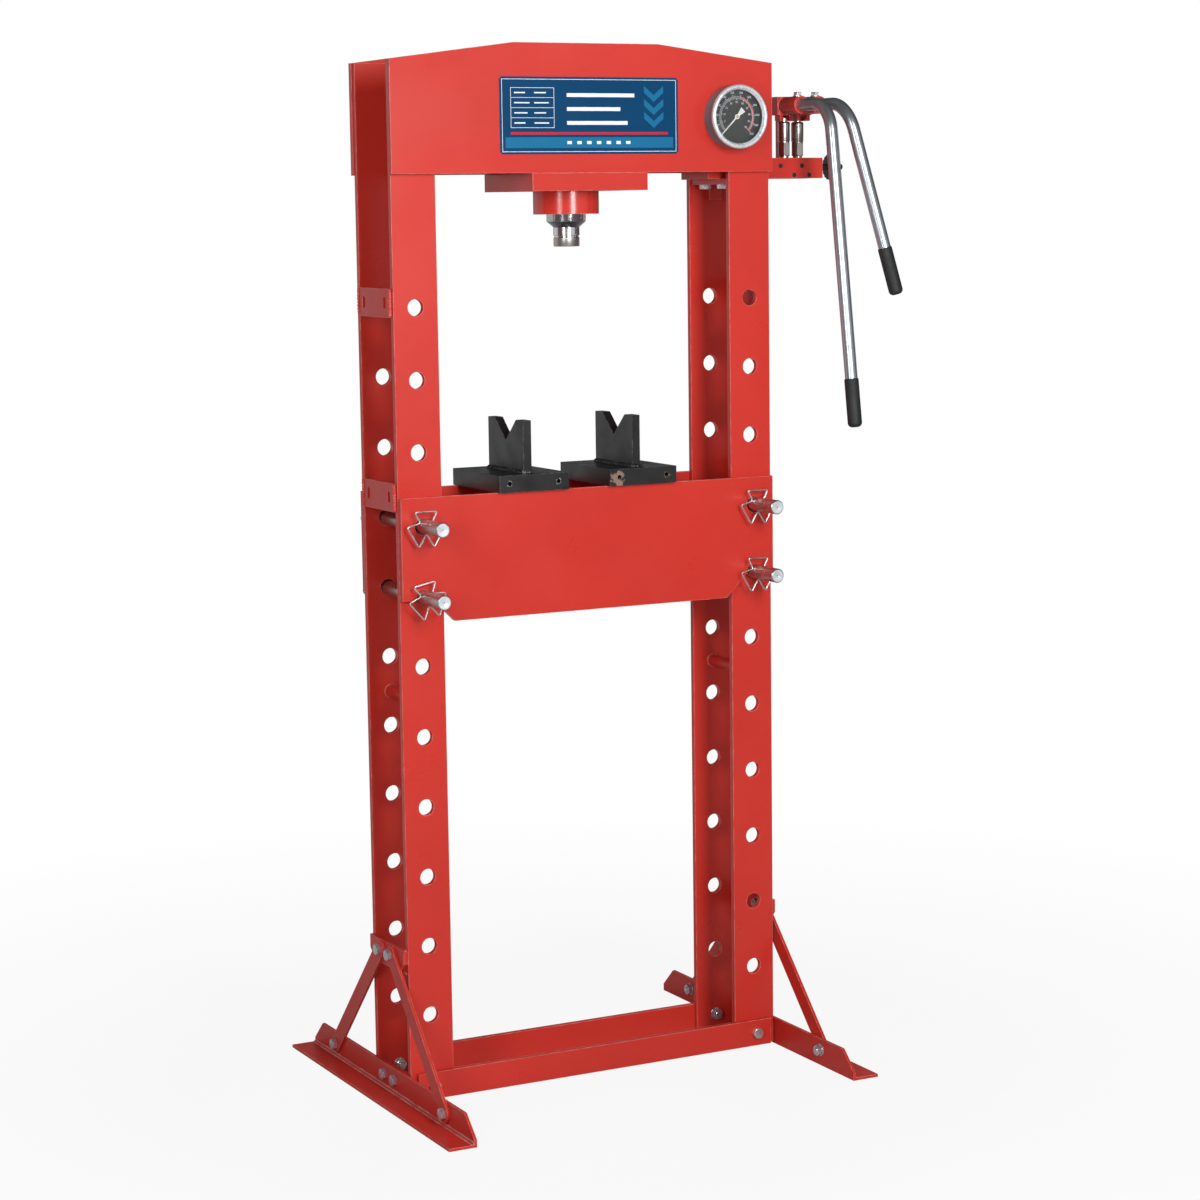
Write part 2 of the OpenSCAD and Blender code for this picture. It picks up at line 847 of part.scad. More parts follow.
module ram_gland() {
    color(steel)
    translate([0, 0, cylinder_z])
        difference() {
            cylinder(d = cylinder_bore, h = gland_h);
            translate([0, 0, -eps])
                cylinder(d = rod_d + 2 * run_clear, h = gland_h + 2 * eps);
        }
}

module ram_rod() {
    color(chrome)
    difference() {
        union() {
            translate([0, 0, rod_end_z])
                cylinder(d = rod_d, h = piston_top_z - rod_end_z);
            translate([0, 0, nose_top_z])
                cylinder(d1 = nose_d, d2 = rod_d, h = rod_cone_h);
        }
        translate([0, 0, rod_floor_z])
            cylinder(d = rod_bore, h = piston_top_z - rod_floor_z + eps);
        translate([0, 0, nose_top_z - eps])
            cylinder(d = nose_screw_d, h = nose_screw_h + eps);
    }
}

module ram_piston() {
    color(steel)
    translate([0, 0, piston_top_z - piston_h])
        difference() {
            cylinder(d = cylinder_bore - 2 * run_clear, h = piston_h);
            translate([0, 0, -eps])
                cylinder(d = rod_d, h = piston_h + 2 * eps);
        }
}

module ram_nose() {
    groove_w = 3;
    groove_in = 1.5;
    edge = 1.5;
    color(chrome)
    translate([0, 0, nose_z]) {
        difference() {
            translate([0, 0, edge])
                cylinder(d = nose_d, h = nose_h - edge);
            translate([0, 0, groove_z - groove_w / 2])
                difference() {
                    cylinder(d = nose_d + 2 * eps, h = groove_w);
                    translate([0, 0, -eps])
                        cylinder(d = nose_d - 2 * groove_in, h = groove_w + 2 * eps);
                }
        }
        cylinder(d1 = nose_d - 2 * edge, d2 = nose_d, h = edge);
        translate([0, 0, nose_h])
            cylinder(d = nose_screw_d, h = nose_screw_h - 1);
    }
}

// Return spring: a helix of round wire swept by formula
spring_z0 = rod_floor_z + spring_wire / 2 + 0.5;
spring_z1 = cylinder_top_z - cap_plug - spring_wire / 2 - 0.5;
spring_sides = 6;
spring_rings = spring_turns * 8;
function spring_point(i, j) =
    let (a = 360 * spring_turns * i / spring_rings)
    let (b = 360 * j / spring_sides)
    let (r = spring_d / 2 + spring_wire / 2 * cos(b))
    [r * cos(a), r * sin(a), spring_z0 + (spring_z1 - spring_z0) * i / spring_rings
        + spring_wire / 2 * sin(b)];
function ring_index(i, j) = i * spring_sides + j % spring_sides;

module return_spring() {
    last = spring_sides - 1;
    points = [for (i = [0 : spring_rings], j = [0 : last]) spring_point(i, j)];
    walls = [for (i = [0 : spring_rings - 1], j = [0 : last], half = [0, 1])
        half == 0
            ? [ring_index(i, j), ring_index(i + 1, j), ring_index(i + 1, j + 1)]
            : [ring_index(i, j), ring_index(i + 1, j + 1), ring_index(i, j + 1)]];
    first_end = [for (j = [1 : last - 1]) [ring_index(0, 0), ring_index(0, j), ring_index(0, j + 1)]];
    last_end = [for (j = [1 : last - 1])
        [ring_index(spring_rings, 0), ring_index(spring_rings, j + 1), ring_index(spring_rings, j)]];
    color(steel)
    polyhedron(points = points, faces = concat(walls, first_end, last_end));
}

// Pump

module pump_block() {
    port_d = 7;
    port_in = 10;
    ports = [[-31, 22], [13, 22], [-3, 6], [28, 6]];
    color(paint)
    difference() {
        box([block_left_x, -block_front, block_z], [block_right_x, block_rear, block_top_z]);
        for (p = ports)
            translate([pump_x + p[0], 0, block_z + p[1]])
                along_y(port_d, -block_front - eps, -block_front + port_in);
        for (y = pump_bolt_ys)
            translate([pump_bolt_x, y, block_z - eps])
                cylinder(d = bolt_hole_d, h = pump_bolt_in + pump_bolt_spare + eps);
        translate([0, knob_y, knob_z])
            along_x(spindle_d + 2 * run_clear, block_right_x - spindle_in - spindle_spare,
                block_right_x + eps);
        for (p = [[pipe_x, pipe_y], [gauge_x, gauge_pipe_y]])
            translate([p[0], p[1], block_top_z - pipe_in])
                cylinder(d = pipe_d, h = pipe_in + eps);
    }
}

// Plate welded between the bars, with a lug below it on the rear bar
module pump_bracket() {
    lug = [24, 13, 27];
    lug_gap = 13;
    inset = 3;
    color(paint)
    difference() {
        union() {
            box([bar_in_x + inset, -bar_in_y, bracket_z0], [bar_out_x - inset, bar_in_y, block_z]);
            translate([pump_bolt_x + lug_gap, bar_in_y - lug[1], bracket_z0 - lug[2]])
                cube(lug + [0, 0, eps]);
        }
        for (y = pump_bolt_ys)
            translate([pump_bolt_x, y, bracket_z0 - eps])
                cylinder(d = bolt_hole_d, h = bracket_plate_t + 2 * eps);
    }
}

module pump_bolts() {
    color(zinc)
    for (y = pump_bolt_ys)
        translate([pump_bolt_x, y, bracket_z0 - bolt_head_h]) {
            hexagon(bolt_af, bolt_head_h);
            cylinder(d = bolt_d, h = bolt_head_h + bracket_plate_t + pump_bolt_in);
        }
}

module pump_barrels() {
    neck_d = 16.5;
    flats_af = 20.5;
    edge = 3;
    bore_spare = 12;
    color(chrome)
    for (p = pump_places)
        translate([p[0], p[1], 0])
            difference() {
                union() {
                    translate([0, 0, block_top_z])
                        cylinder(d = neck_d, h = barrel_neck_h + eps);
                    translate([0, 0, barrel_z])
                        intersection() {
                            cylinder(d = barrel_d, h = barrel_flat_h);
                            hexagon(flats_af, barrel_flat_h);
                        }
                    translate([0, 0, barrel_z + barrel_flat_h])
                        cylinder(d = barrel_d, h = barrel_h - barrel_flat_h - edge);
                    translate([0, 0, barrel_top_z - edge])
                        cylinder(d1 = barrel_d, d2 = barrel_d - edge, h = edge);
                }
                translate([0, 0, barrel_top_z - plunger_in - bore_spare])
                    cylinder(d = plunger_d + 2 * run_clear, h = plunger_in + bore_spare + eps);
            }
}

module plunger(p) {
    color(chrome)
    translate([p[0], p[1], 0]) {
        translate([0, 0, barrel_top_z - plunger_in])
            cylinder(d = plunger_d, h = plunger_top_z - plunger_d / 2 - barrel_top_z + plunger_in);
        translate([0, 0, plunger_top_z - plunger_d / 2])
            sphere(d = plunger_d);
    }
}

module pivot_posts() {
    color(paint)
    for (i = [0, 1])
        translate([pump_x + (i - 0.5) * pump_pitch, pivot_y, 0])
            difference() {
                union() {
                    box([-post_t / 2, -post_y / 2, block_top_z], [post_t / 2, post_y / 2, lever_z]);
                    translate([0, 0, lever_z])
                        along_x(post_y, -post_t / 2, post_t / 2);
                }
                translate([0, 0, lever_z])
                    along_x(pivot_d, -post_t, post_t);
            }
}

// Pivot pin with a collar at each end; its outer end stands free and carries the outer lever
module lever_pivot() {
    collar_lip = 3;
    collar_d = pivot_d + 2 * collar_lip;
    collar_t = 4;
    first = pump_x - pump_pitch / 2 - post_t / 2;
    last = outer_pump_x + boss_w / 2 + 2 * seat_gap;
    color(zinc)
    translate([0, pivot_y, lever_z]) {
        along_x(pivot_d, first - eps, last + eps);
        along_x(collar_d, first - collar_t, first);
        along_x(collar_d, last, last + collar_t);
    }
}

// Lever with its handle socket, its block, the pivot boss and the fork round the plunger's head
module lever(p) {
    color(paint)
    translate([p[0], 0, lever_z])
        difference() {
            union() {
                along_y(socket_d, -socket_front, 0);
                box([-lever_block_w / 2, -lever_block_y, -lever_block_h / 2],
                    [lever_block_w / 2, lever_block_back, lever_block_h / 2]);
                box([-boss_w / 2, 0, -boss_d / 2], [boss_w / 2, pivot_y, boss_d / 2]);
                translate([0, pivot_y, 0])
                    along_x(boss_d, -boss_w / 2, boss_w / 2);
                for (s = [-1, 1])
                    translate([s * (cheek_in + cheek_t / 2) - cheek_t / 2, -cheek_y, -cheek_low])
                        cube([cheek_t, p[1] + 2 * cheek_y, cheek_low]);
            }
            along_y(handle_d + 2 * seat_gap, -socket_front - eps, -socket_front + handle_in + eps);
            translate([0, pivot_y, 0])
                along_x(pivot_d + 2 * run_clear, -boss_w, boss_w);
        }
}

module ring(d, wall) {
    difference() {
        circle(d = d);
        circle(d = d - 2 * wall);
    }
}

// Where a handle's straight leg starts, seen from the socket axis above the plunger
module at_leg() {
    translate([0, -bend_end_y, -bend_end_z])
        rotate([90 + handle_bend_deg, 0, 0])
            children();
}

// The leg is a hair thinner than the bend that it runs into, so that the two join cleanly
leg_overlap = 1;
leg_thin = 0.05;

module handle(x, leg, splay) {
    color(chrome)
    translate([x, 0, lever_z])
        rotate([0, -splay, 0]) {
            translate([0, handle_in - socket_front, 0])
                rotate([90, 0, 0])
                    linear_extrude(height = handle_bend_y + handle_in - socket_front)
                        ring(handle_d, handle_wall);
            translate([0, -handle_bend_y, -handle_bend_r])
                rotate(a = 180, v = [1, 0, 1])
                    rotate_extrude(angle = handle_bend_deg)
                        translate([handle_bend_r, 0])
                            ring(handle_d, handle_wall);
            at_leg()
                translate([0, 0, -leg_overlap])
                    linear_extrude(height = leg + leg_overlap)
                        ring(handle_d - 2 * leg_thin, handle_wall - 2 * leg_thin);
        }
}

module grip(x, leg, splay) {
    edge = 3;
    color(black)
    translate([x, 0, lever_z])
        rotate([0, -splay, 0])
            at_leg()
                translate([0, 0, leg + grip_end - grip_len])
                    difference() {
                        union() {
                            cylinder(d = grip_d, h = grip_len - edge);
                            translate([0, 0, grip_len - edge])
                                cylinder(d1 = grip_d, d2 = grip_d - 2 * edge, h = edge);
                        }
                        translate([0, 0, -eps])
                            cylinder(d = handle_d, h = grip_len - grip_end + eps);
                    }
}

module release_knob() {
    flute_d = 5;
    flute_out = 1.25;
    color(black)
    translate([block_right_x, knob_y, knob_z]) {
        along_x(spindle_d, -spindle_in, spindle_out);
        difference() {
            along_x(knob_d, knob_out, knob_out + knob_t);
            for (i = [0 : knob_flutes - 1])
                rotate([i * 360 / knob_flutes, 0, 0])
                    translate([0, knob_d / 2 + flute_out, 0])
                        along_x(flute_d, knob_out - eps, knob_out + knob_t + eps);
        }
    }
}

// Closed tank that stands on the pump block, with its filler plug
module oil_tank() {
    plug_d = 26;
    plug_h = 9;
    color(paint)
    translate([tank_left_x, -tank_y / 2, block_top_z]) {
        difference() {
            cube([tank_x, tank_y, tank_h]);
            translate([tank_wall, tank_wall, tank_wall])
                cube([tank_x - 2 * tank_wall, tank_y - 2 * tank_wall, tank_h - 2 * tank_wall]);
        }
        translate([tank_x / 2, tank_y / 2, tank_h - eps])
            hexagon(plug_d, plug_h + eps);
    }
}

// Pressure pipe from the pump block up to the cylinder cap
module oil_pipe() {
    color(steel) {
        translate([pipe_x, pipe_y, block_top_z - pipe_in])
            linear_extrude(height = pipe_top_z - pipe_bend_r - block_top_z + pipe_in)
                ring(pipe_d, pipe_wall);
        translate([pipe_x - pipe_bend_r, pipe_y, pipe_top_z - pipe_bend_r])
            rotate([90, 0, 0])
                rotate_extrude(angle = 90)
                    translate([pipe_bend_r, 0])
                        ring(pipe_d, pipe_wall);
        difference() {
            translate([pipe_x - pipe_bend_r, pipe_y, pipe_top_z])
                rotate([0, -90, 0])
                    linear_extrude(height = pipe_x - pipe_bend_r - cylinder_d / 2 + pipe_in)
                        ring(pipe_d, pipe_wall);
            translate([0, 0, pipe_top_z - pipe_d])
                cylinder(d = cylinder_d, h = 2 * pipe_d);
        }
    }
}

// Gauge

module gauge_case() {
    color(chrome)
    translate([gauge_x, 0, gauge_z])
        difference() {
            along_y(case_d, case_front_y, -head_out_y);
            along_y(case_d - 2 * case_wall, case_front_y - eps, -head_out_y - case_wall);
        }
}

module gauge_bezel() {
    back_y = bezel_front_y + bezel_h;
    lip_y = case_front_y - glass_t;
    bezel_step = 2;
    inner_d = bezel_d - 2 * (bezel_lip + bezel_step);
    flare = 7;
    color(chrome)
    translate([gauge_x, 0, gauge_z])
        difference() {
            along_y(bezel_d, bezel_front_y, back_y);
            along_y(case_d, lip_y, back_y + eps);
            translate([0, lip_y + eps, 0])
                rotate([90, 0, 0])
                    cylinder(d1 = inner_d, d2 = inner_d + flare, h = lip_y - bezel_front_y + 2 * eps);
        }
}

module gauge_glass() {
    glass_gap = 0.2;
    color([0.75, 0.85, 0.85, 0.3])
    translate([gauge_x, 0, gauge_z])
        along_y(case_d - 2 * glass_gap, case_front_y - glass_t, case_front_y);
}

module gauge_dial() {
    post_d = 16;
    color(black)
    translate([gauge_x, 0, gauge_z]) {
        along_y(case_d - 2 * case_wall, dial_y - dial_t, dial_y);
        along_y(post_d, dial_y - eps, -head_out_y - case_wall);
    }
}

// Needle at its rest mark, pointing down to the left
module gauge_needle() {
    tail = 17;
    tail_half = 5;
    root_half = 1.3;
    tip_half = 0.5;
    blade_t = 1.2;
    blade_lift = 0.6;
    hub_d = 8;
    hub_h = 2.5;
    rest_deg = -135;
    color([0.92, 0.92, 0.90])
    translate([gauge_x, needle_y, gauge_z]) {
        along_y(hub_d, -hub_h, 0);
        rotate([0, rest_deg, 0])
            translate([0, -blade_lift, 0])
                plate_xz(0, blade_t)
                    polygon([
                        [-root_half, 0], [-tip_half, needle_len], [tip_half, needle_len], [root_half, 0],
                        [tail_half, -tail], [-tail_half, -tail]
                    ]);
    }
}

// Threaded stem behind the gauge, with the pipe that joins it to the pump block
module gauge_stem() {
    color([0.72, 0.58, 0.30]) {
        translate([gauge_x, 0, gauge_z])
            along_y(stem_d, -head_out_y, stem_end_y);
        translate([gauge_x, gauge_pipe_y, block_top_z - pipe_in])
            cylinder(d = pipe_d, h = gauge_z - block_top_z + pipe_in);
    }
}

// V blocks

module v_block(x) {
    tap_in = 14;
    tap_pitch = 92;
    color(black)
    translate([x, 0, bed_top_z]) {
        difference() {
            box([-v_base_x / 2, -v_base_y / 2, 0], [v_base_x / 2, v_base_y / 2, v_base_h]);
            for (s = [-1, 1])
                translate([s * tap_pitch / 2, 0, v_base_h / 2])
                    along_y(v_tap_d, -v_base_y / 2 - eps, -v_base_y / 2 + tap_in);
        }
        translate([-v_plate_t / 2, 0, v_base_h])
            rotate([90, 0, 90])
                linear_extrude(height = v_plate_t)
                    polygon([
                        [-v_plate_y / 2, 0], [v_plate_y / 2, 0], [v_plate_y / 2, v_plate_h],
                        [v_open / 2, v_plate_h], [0, v_plate_h - v_depth], [-v_open / 2, v_plate_h],
                        [-v_plate_y / 2, v_plate_h]
                    ]);
    }
}

upright(-1, -1);  // upright_front_left
upright(1, -1);  // upright_front_right
upright(-1, 1);  // upright_rear_left
upright(1, 1);  // upright_rear_right
head_plate_front();
head_plate_rear();
head_webs();
side_battens();
column_ties();
base_rails();
rail_bolts();
foot_tabs();
feet();
brace_brackets();
braces();
foot_bolts();
bed_plate(-1);  // bed_plate_front
bed_plate(1);  // bed_plate_rear
bed_spacers();
bed_pin(-1, upper_pin_z);  // pin_upper_left
bed_pin(1, upper_pin_z);  // pin_upper_right
bed_pin(-1, lower_pin_z);  // pin_lower_left
bed_pin(1, lower_pin_z);  // pin_lower_right
pin_clips(-1, upper_pin_z, 0);  // clips_upper_left
pin_clips(1, upper_pin_z, 0);  // clips_upper_right
pin_clips(-1, lower_pin_z, 12);  // clips_lower_left
pin_clips(1, lower_pin_z, 0);  // clips_lower_right
ram_plate();
ram_cylinder();
ram_cap();
ram_gland();
ram_rod();
ram_piston();
ram_nose();
return_spring();
pump_block();
pump_bracket();
pump_bolts();
pump_barrels();
plunger(pump_places[0]);  // plunger_inner
plunger(pump_places[1]);  // plunger_outer
pivot_posts();
lever_pivot();
lever(pump_places[0]);  // lever_inner
lever(pump_places[1]);  // lever_outer
handle(pump_x, inner_leg, 0);  // handle_inner
handle(outer_pump_x, outer_leg, outer_splay);  // handle_outer
grip(pump_x, inner_leg, 0);  // grip_inner
grip(outer_pump_x, outer_leg, outer_splay);  // grip_outer
release_knob();
oil_tank();
oil_pipe();
gauge_case();
gauge_bezel();
gauge_glass();
gauge_dial();
gauge_needle();
gauge_stem();
v_block(v_left_x);  // v_block_left
v_block(v_right_x);  // v_block_right
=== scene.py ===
"""Looks of a floor-standing hydraulic shop press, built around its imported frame. Metres."""
import json
import math
import random

import bmesh
import bpy
from mathutils import Matrix, Vector


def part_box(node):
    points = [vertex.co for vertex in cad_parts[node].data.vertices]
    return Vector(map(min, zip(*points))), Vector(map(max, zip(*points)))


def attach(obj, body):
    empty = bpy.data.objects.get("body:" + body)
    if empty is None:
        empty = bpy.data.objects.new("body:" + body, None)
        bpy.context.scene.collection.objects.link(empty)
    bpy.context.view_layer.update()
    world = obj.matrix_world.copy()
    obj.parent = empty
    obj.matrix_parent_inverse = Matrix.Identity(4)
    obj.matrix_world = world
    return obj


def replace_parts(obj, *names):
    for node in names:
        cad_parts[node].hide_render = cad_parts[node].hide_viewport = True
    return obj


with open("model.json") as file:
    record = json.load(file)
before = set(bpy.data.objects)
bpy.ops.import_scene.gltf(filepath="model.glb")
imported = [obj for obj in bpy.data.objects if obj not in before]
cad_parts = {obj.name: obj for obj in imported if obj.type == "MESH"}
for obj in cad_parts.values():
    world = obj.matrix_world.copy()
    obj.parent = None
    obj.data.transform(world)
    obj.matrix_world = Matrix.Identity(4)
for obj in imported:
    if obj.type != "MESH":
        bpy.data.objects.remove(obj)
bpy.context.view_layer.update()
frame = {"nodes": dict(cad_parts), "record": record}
nodes = frame["nodes"]
MM = 0.001
UP = (0, 0, 1)
FRONT = (0, -1, 0)
BACK = (0, 1, 0)
RIGHT = (1, 0, 0)


def span(node):
    """The two corners of a CAD node's box."""
    low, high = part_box(node)
    return Vector(low), Vector(high)


def middle_of(node):
    low, high = span(node)
    return (low + high) / 2


def add_object(name, data):
    made = bpy.data.objects.new(name, data)
    bpy.context.scene.collection.objects.link(made)
    return made


# Camera

CAMERA_PLACE = (-2.27408, -4.48864, 1.51033)
CAMERA_TURN_DEG = (82.304, 0.778, -27.532)
CAMERA_LENS_MM = 87.24
SENSOR_MM = 36.0
VIEW_DEPTH = 100.0


def add_camera():
    data = bpy.data.cameras.new("camera")
    data.lens = CAMERA_LENS_MM
    data.sensor_width = SENSOR_MM
    data.clip_end = VIEW_DEPTH
    camera = add_object("camera", data)
    camera.location = CAMERA_PLACE
    camera.rotation_euler = [math.radians(a) for a in CAMERA_TURN_DEG]
    bpy.context.scene.camera = camera


add_camera()
bpy.context.scene.view_settings.view_transform = "Standard"


# Node helpers

EVEN = (1.0, 1.0, 1.0)
NOISE_LOW, NOISE_HIGH = 0.3, 0.7
SHARP_DOT, FLAT_DOT = 0.9, 0.995
BEVEL_SAMPLES = 6


def rgba(color):
    return (*color, 1.0)


def grey(level):
    return (level, level, level, 1.0)


class Graph:
    """The node tree of a material or a world, with short calls for the nodes used here."""

    def __init__(self, owner):
        owner.use_nodes = True
        self.tree = owner.node_tree

    def node(self, kind, **settings):
        made = self.tree.nodes.new(kind)
        for key, value in settings.items():
            setattr(made, key, value)
        return made

    def link(self, source, target):
        self.tree.links.new(source, target)

    def feed(self, made, **inputs):
        """Sets or links a node's inputs, by name or by number as in _0."""
        for key, value in inputs.items():
            place = int(key[1:]) if key[1:].isdigit() else key.replace("_", " ")
            if isinstance(value, bpy.types.NodeSocket):
                self.link(value, made.inputs[place])
            else:
                made.inputs[place].default_value = value
        return made

    def coords(self, stretch=EVEN):
        """Places on the object, stretched along its axes."""
        source = self.node("ShaderNodeTexCoord").outputs["Object"]
        return self.feed(self.node("ShaderNodeMapping"), Vector=source, Scale=stretch).outputs["Vector"]

    def noise(self, scale, detail, stretch=EVEN):
        """Noise of a scale per metre and a number of finer layers."""
        made = self.node("ShaderNodeTexNoise")
        return self.feed(made, Vector=self.coords(stretch), Scale=scale, Detail=detail).outputs["Fac"]

    def remap(self, value, low, high, to_low=0.0, to_high=1.0, kind="LINEAR"):
        made = self.node("ShaderNodeMapRange", interpolation_type=kind)
        levels = {"Value": value, "From_Min": low, "From_Max": high, "To_Min": to_low, "To_Max": to_high}
        return self.feed(made, **levels).outputs["Result"]

    def cloud(self, scale, detail, to_low=0.0, to_high=1.0):
        """Noise, with its usual range stretched over the one given."""
        return self.remap(self.noise(scale, detail), NOISE_LOW, NOISE_HIGH, to_low, to_high)

    def math(self, operation, a, b):
        made = self.node("ShaderNodeMath", operation=operation)
        return self.feed(made, _0=a, _1=b).outputs["Value"]

    def mix(self, factor, a, b):
        made = self.node("ShaderNodeMix", data_type="RGBA")
        return self.feed(made, _0=factor, _6=a, _7=b).outputs[2]

    def blend(self, factor, first, second):
        """Mixes two shaders."""
        made = self.node("ShaderNodeMixShader")
        return self.feed(made, _0=factor, _1=first, _2=second).outputs["Shader"]

    def in_sight(self):
        """1 for rays straight from the camera or through glass."""
        paths = self.node("ShaderNodeLightPath")
        return self.math("MAXIMUM", paths.outputs["Is Camera Ray"], paths.outputs["Is Transmission Ray"])

    def in_mirror(self):
        """1 for rays from a glossy surface."""
        return self.node("ShaderNodeLightPath").outputs["Is Glossy Ray"]

    def rounded(self, radius):
        """The normal of a surface with rounded edges."""
        made = self.node("ShaderNodeBevel", samples=BEVEL_SAMPLES)
        return self.feed(made, Radius=radius).outputs["Normal"]

    def edges(self, radius):
        """1 along sharp edges, 0 on flat faces."""
        geometry = self.node("ShaderNodeNewGeometry")
        dot = self.node("ShaderNodeVectorMath", operation="DOT_PRODUCT")
        self.feed(dot, _0=self.rounded(radius), _1=geometry.outputs["True Normal"])
        return self.remap(dot.outputs["Value"], SHARP_DOT, FLAT_DOT, 1.0, 0.0)

    def bump(self, height, strength, distance, edge):
        """The normal of a surface with fine relief, whose edges have a small radius."""
        made = self.node("ShaderNodeBump")
        self.feed(made, Strength=strength, Distance=distance, Height=height, Normal=self.rounded(edge))
        return made.outputs["Normal"]


class Surface(Graph):
    """A new material with its shader."""

    def __init__(self, name):
        self.material = bpy.data.materials.new(name)
        super().__init__(self.material)
        self.shader = self.tree.nodes["Principled BSDF"]

    def shade(self, **inputs):
        """Sets or links the shader's own inputs."""
        self.feed(self.shader, **inputs)
        return self.material


# Materials

LIFT = 0.02
BLACK, BLACK_SHADE = (0.0085, 0.008, 0.0088), (0.012, 0.0113, 0.0125)
PALE_CHIP, BROWN_CHIP = (0.42, 0.41, 0.40), (0.27, 0.18, 0.13)


def lifted(color, gain):
    """A lighter tone of a colour, for dust and for lighter edges."""
    return rgba([c * gain + LIFT for c in color])


def enamel(name, color, shade, rough, edge_light, gloss):
    """Sprayed paint: slow colour drift, faint orange peel, and a lighter colour along edges that is partly
    paint rubbed thin and partly a painted highlight.
    """
    g = Surface(name)
    base = g.mix(g.cloud(3.5, 4.0), rgba(color), rgba(shade))
    dust = g.remap(g.noise(420.0, 2.0), 0.62, 0.8, 0.0, 0.08)
    dusty = g.mix(dust, base, lifted(color, 1.5))
    # Lighter colour along edges: partly paint rubbed thin, partly a painted highlight of light on rounded
    # edges.
    edge_wear_and_highlight = g.math("MULTIPLY", g.edges(2.0 * MM), g.remap(g.noise(60.0, 3.0), 0.35, 0.7, 0.2, 1.0))
    return g.shade(Base_Color=g.mix(edge_wear_and_highlight, dusty, rgba(edge_light)),
                   Roughness=g.cloud(9.0, 5.0, rough - 0.05, rough + 0.08),
                   Normal=g.bump(g.noise(240.0, 2.0), strength=0.05, distance=0.6 * MM, edge=1.4 * MM),
                   Specular_IOR_Level=gloss)


def metal(name, color, shade, rough, grain, stretch=EVEN, grain_depth=0.04, metallic=1.0):
    """Bare or plated metal: cloudy tone, fine directional marks."""
    g = Surface(name)
    marks = g.noise(grain, 3.0, stretch)
    return g.shade(Base_Color=g.mix(g.cloud(28.0, 4.0), rgba(color), rgba(shade)),
                   Roughness=g.remap(marks, 0.25, 0.75, rough * 0.75, rough * 1.35),
                   Normal=g.bump(marks, strength=grain_depth, distance=0.3 * MM, edge=0.5 * MM),
                   Metallic=metallic)


def polished(name, color, shade, rough, metallic=1.0):
    """Smooth drawn or turned metal with only a slow change of tone and gloss."""
    g = Surface(name)
    return g.shade(Base_Color=g.mix(g.cloud(14.0, 3.0), rgba(color), rgba(shade)),
                   Roughness=g.cloud(6.0, 2.0, rough * 0.9, rough * 1.15),
                   Metallic=metallic)


def moulded(name, color, shade, rough, grain, depth):
    """Rubber or plastic with a fine moulded grain."""
    g = Surface(name)
    base = g.mix(g.cloud(35.0, 4.0), rgba(color), rgba(shade))
    # Lighter along every edge.
    edge_lift = g.math("MULTIPLY", g.edges(1.2 * MM), 0.25)
    return g.shade(Base_Color=g.mix(edge_lift, base, lifted(color, 2.5)),
                   Roughness=g.cloud(70.0, 3.0, rough - 0.06, rough + 0.08),
                   Normal=g.bump(g.noise(grain, 2.0), strength=depth, distance=0.4 * MM, edge=1.0 * MM))


def chipped(name, spots):
    """Black enamel, rubbed on its edges, with bare metal round spots of (place, reach, colour)."""
    g = Surface(name)
    paint = g.mix(g.cloud(14.0, 5.0), rgba(BLACK), rgba(BLACK_SHADE))
    edge_lift = g.math("MULTIPLY", g.edges(1.5 * MM), g.remap(g.noise(120.0, 4.0), 0.5, 0.62, 0.05, 0.45))
    paint = g.mix(edge_lift, paint, rgba(PALE_CHIP))
    for place, reach, bare in spots:
        away = g.node("ShaderNodeVectorMath", operation="DISTANCE")
        g.feed(away, _0=g.coords(), _1=place)
        drift = g.remap(g.noise(2.6 / reach, 6.0), 0.25, 0.75, -0.55 * reach, 0.55 * reach)
        ragged = g.math("ADD", away.outputs["Value"], drift)
        paint = g.mix(g.remap(ragged, reach * 0.55, reach * 0.72, 0.85, 0.0), paint, rgba(bare))
    return g.shade(Base_Color=paint,
                   Roughness=g.cloud(30.0, 4.0, 0.30, 0.46),
                   Normal=g.bump(g.noise(320.0, 3.0), strength=0.08, distance=0.5 * MM, edge=1.2 * MM),
                   Specular_IOR_Level=0.45)


def printed(name, color, shade):
    """Ink on a smooth panel."""
    g = Surface(name)
    return g.shade(Base_Color=g.mix(g.cloud(7.0, 4.0), rgba(color), rgba(shade)),
                   Roughness=g.cloud(22.0, 3.0, 0.28, 0.38),
                   Normal=g.bump(g.noise(300.0, 2.0), strength=0.03, distance=0.3 * MM, edge=0.3 * MM),
                   Specular_IOR_Level=0.12)


def clear_glass(name):
    g = Surface(name)
    return g.shade(Base_Color=(0.97, 0.99, 0.98, 1.0),
                   Roughness=g.cloud(50.0, 2.0, 0.01, 0.04),
                   IOR=1.30,
                   Transmission_Weight=1.0)


RED = (0.60, 0.034, 0.022)
RED_SHADE = (0.53, 0.028, 0.018)
# The colour along enamel edges: partly rubbed paint, partly a painted highlight.
RED_EDGE = (0.82, 0.34, 0.28)
red = enamel("red_enamel", RED, RED_SHADE, rough=0.32, edge_light=RED_EDGE, gloss=0.36)
red_gloss = enamel("red_gloss", RED, RED_SHADE, rough=0.20, edge_light=RED_EDGE, gloss=0.50)

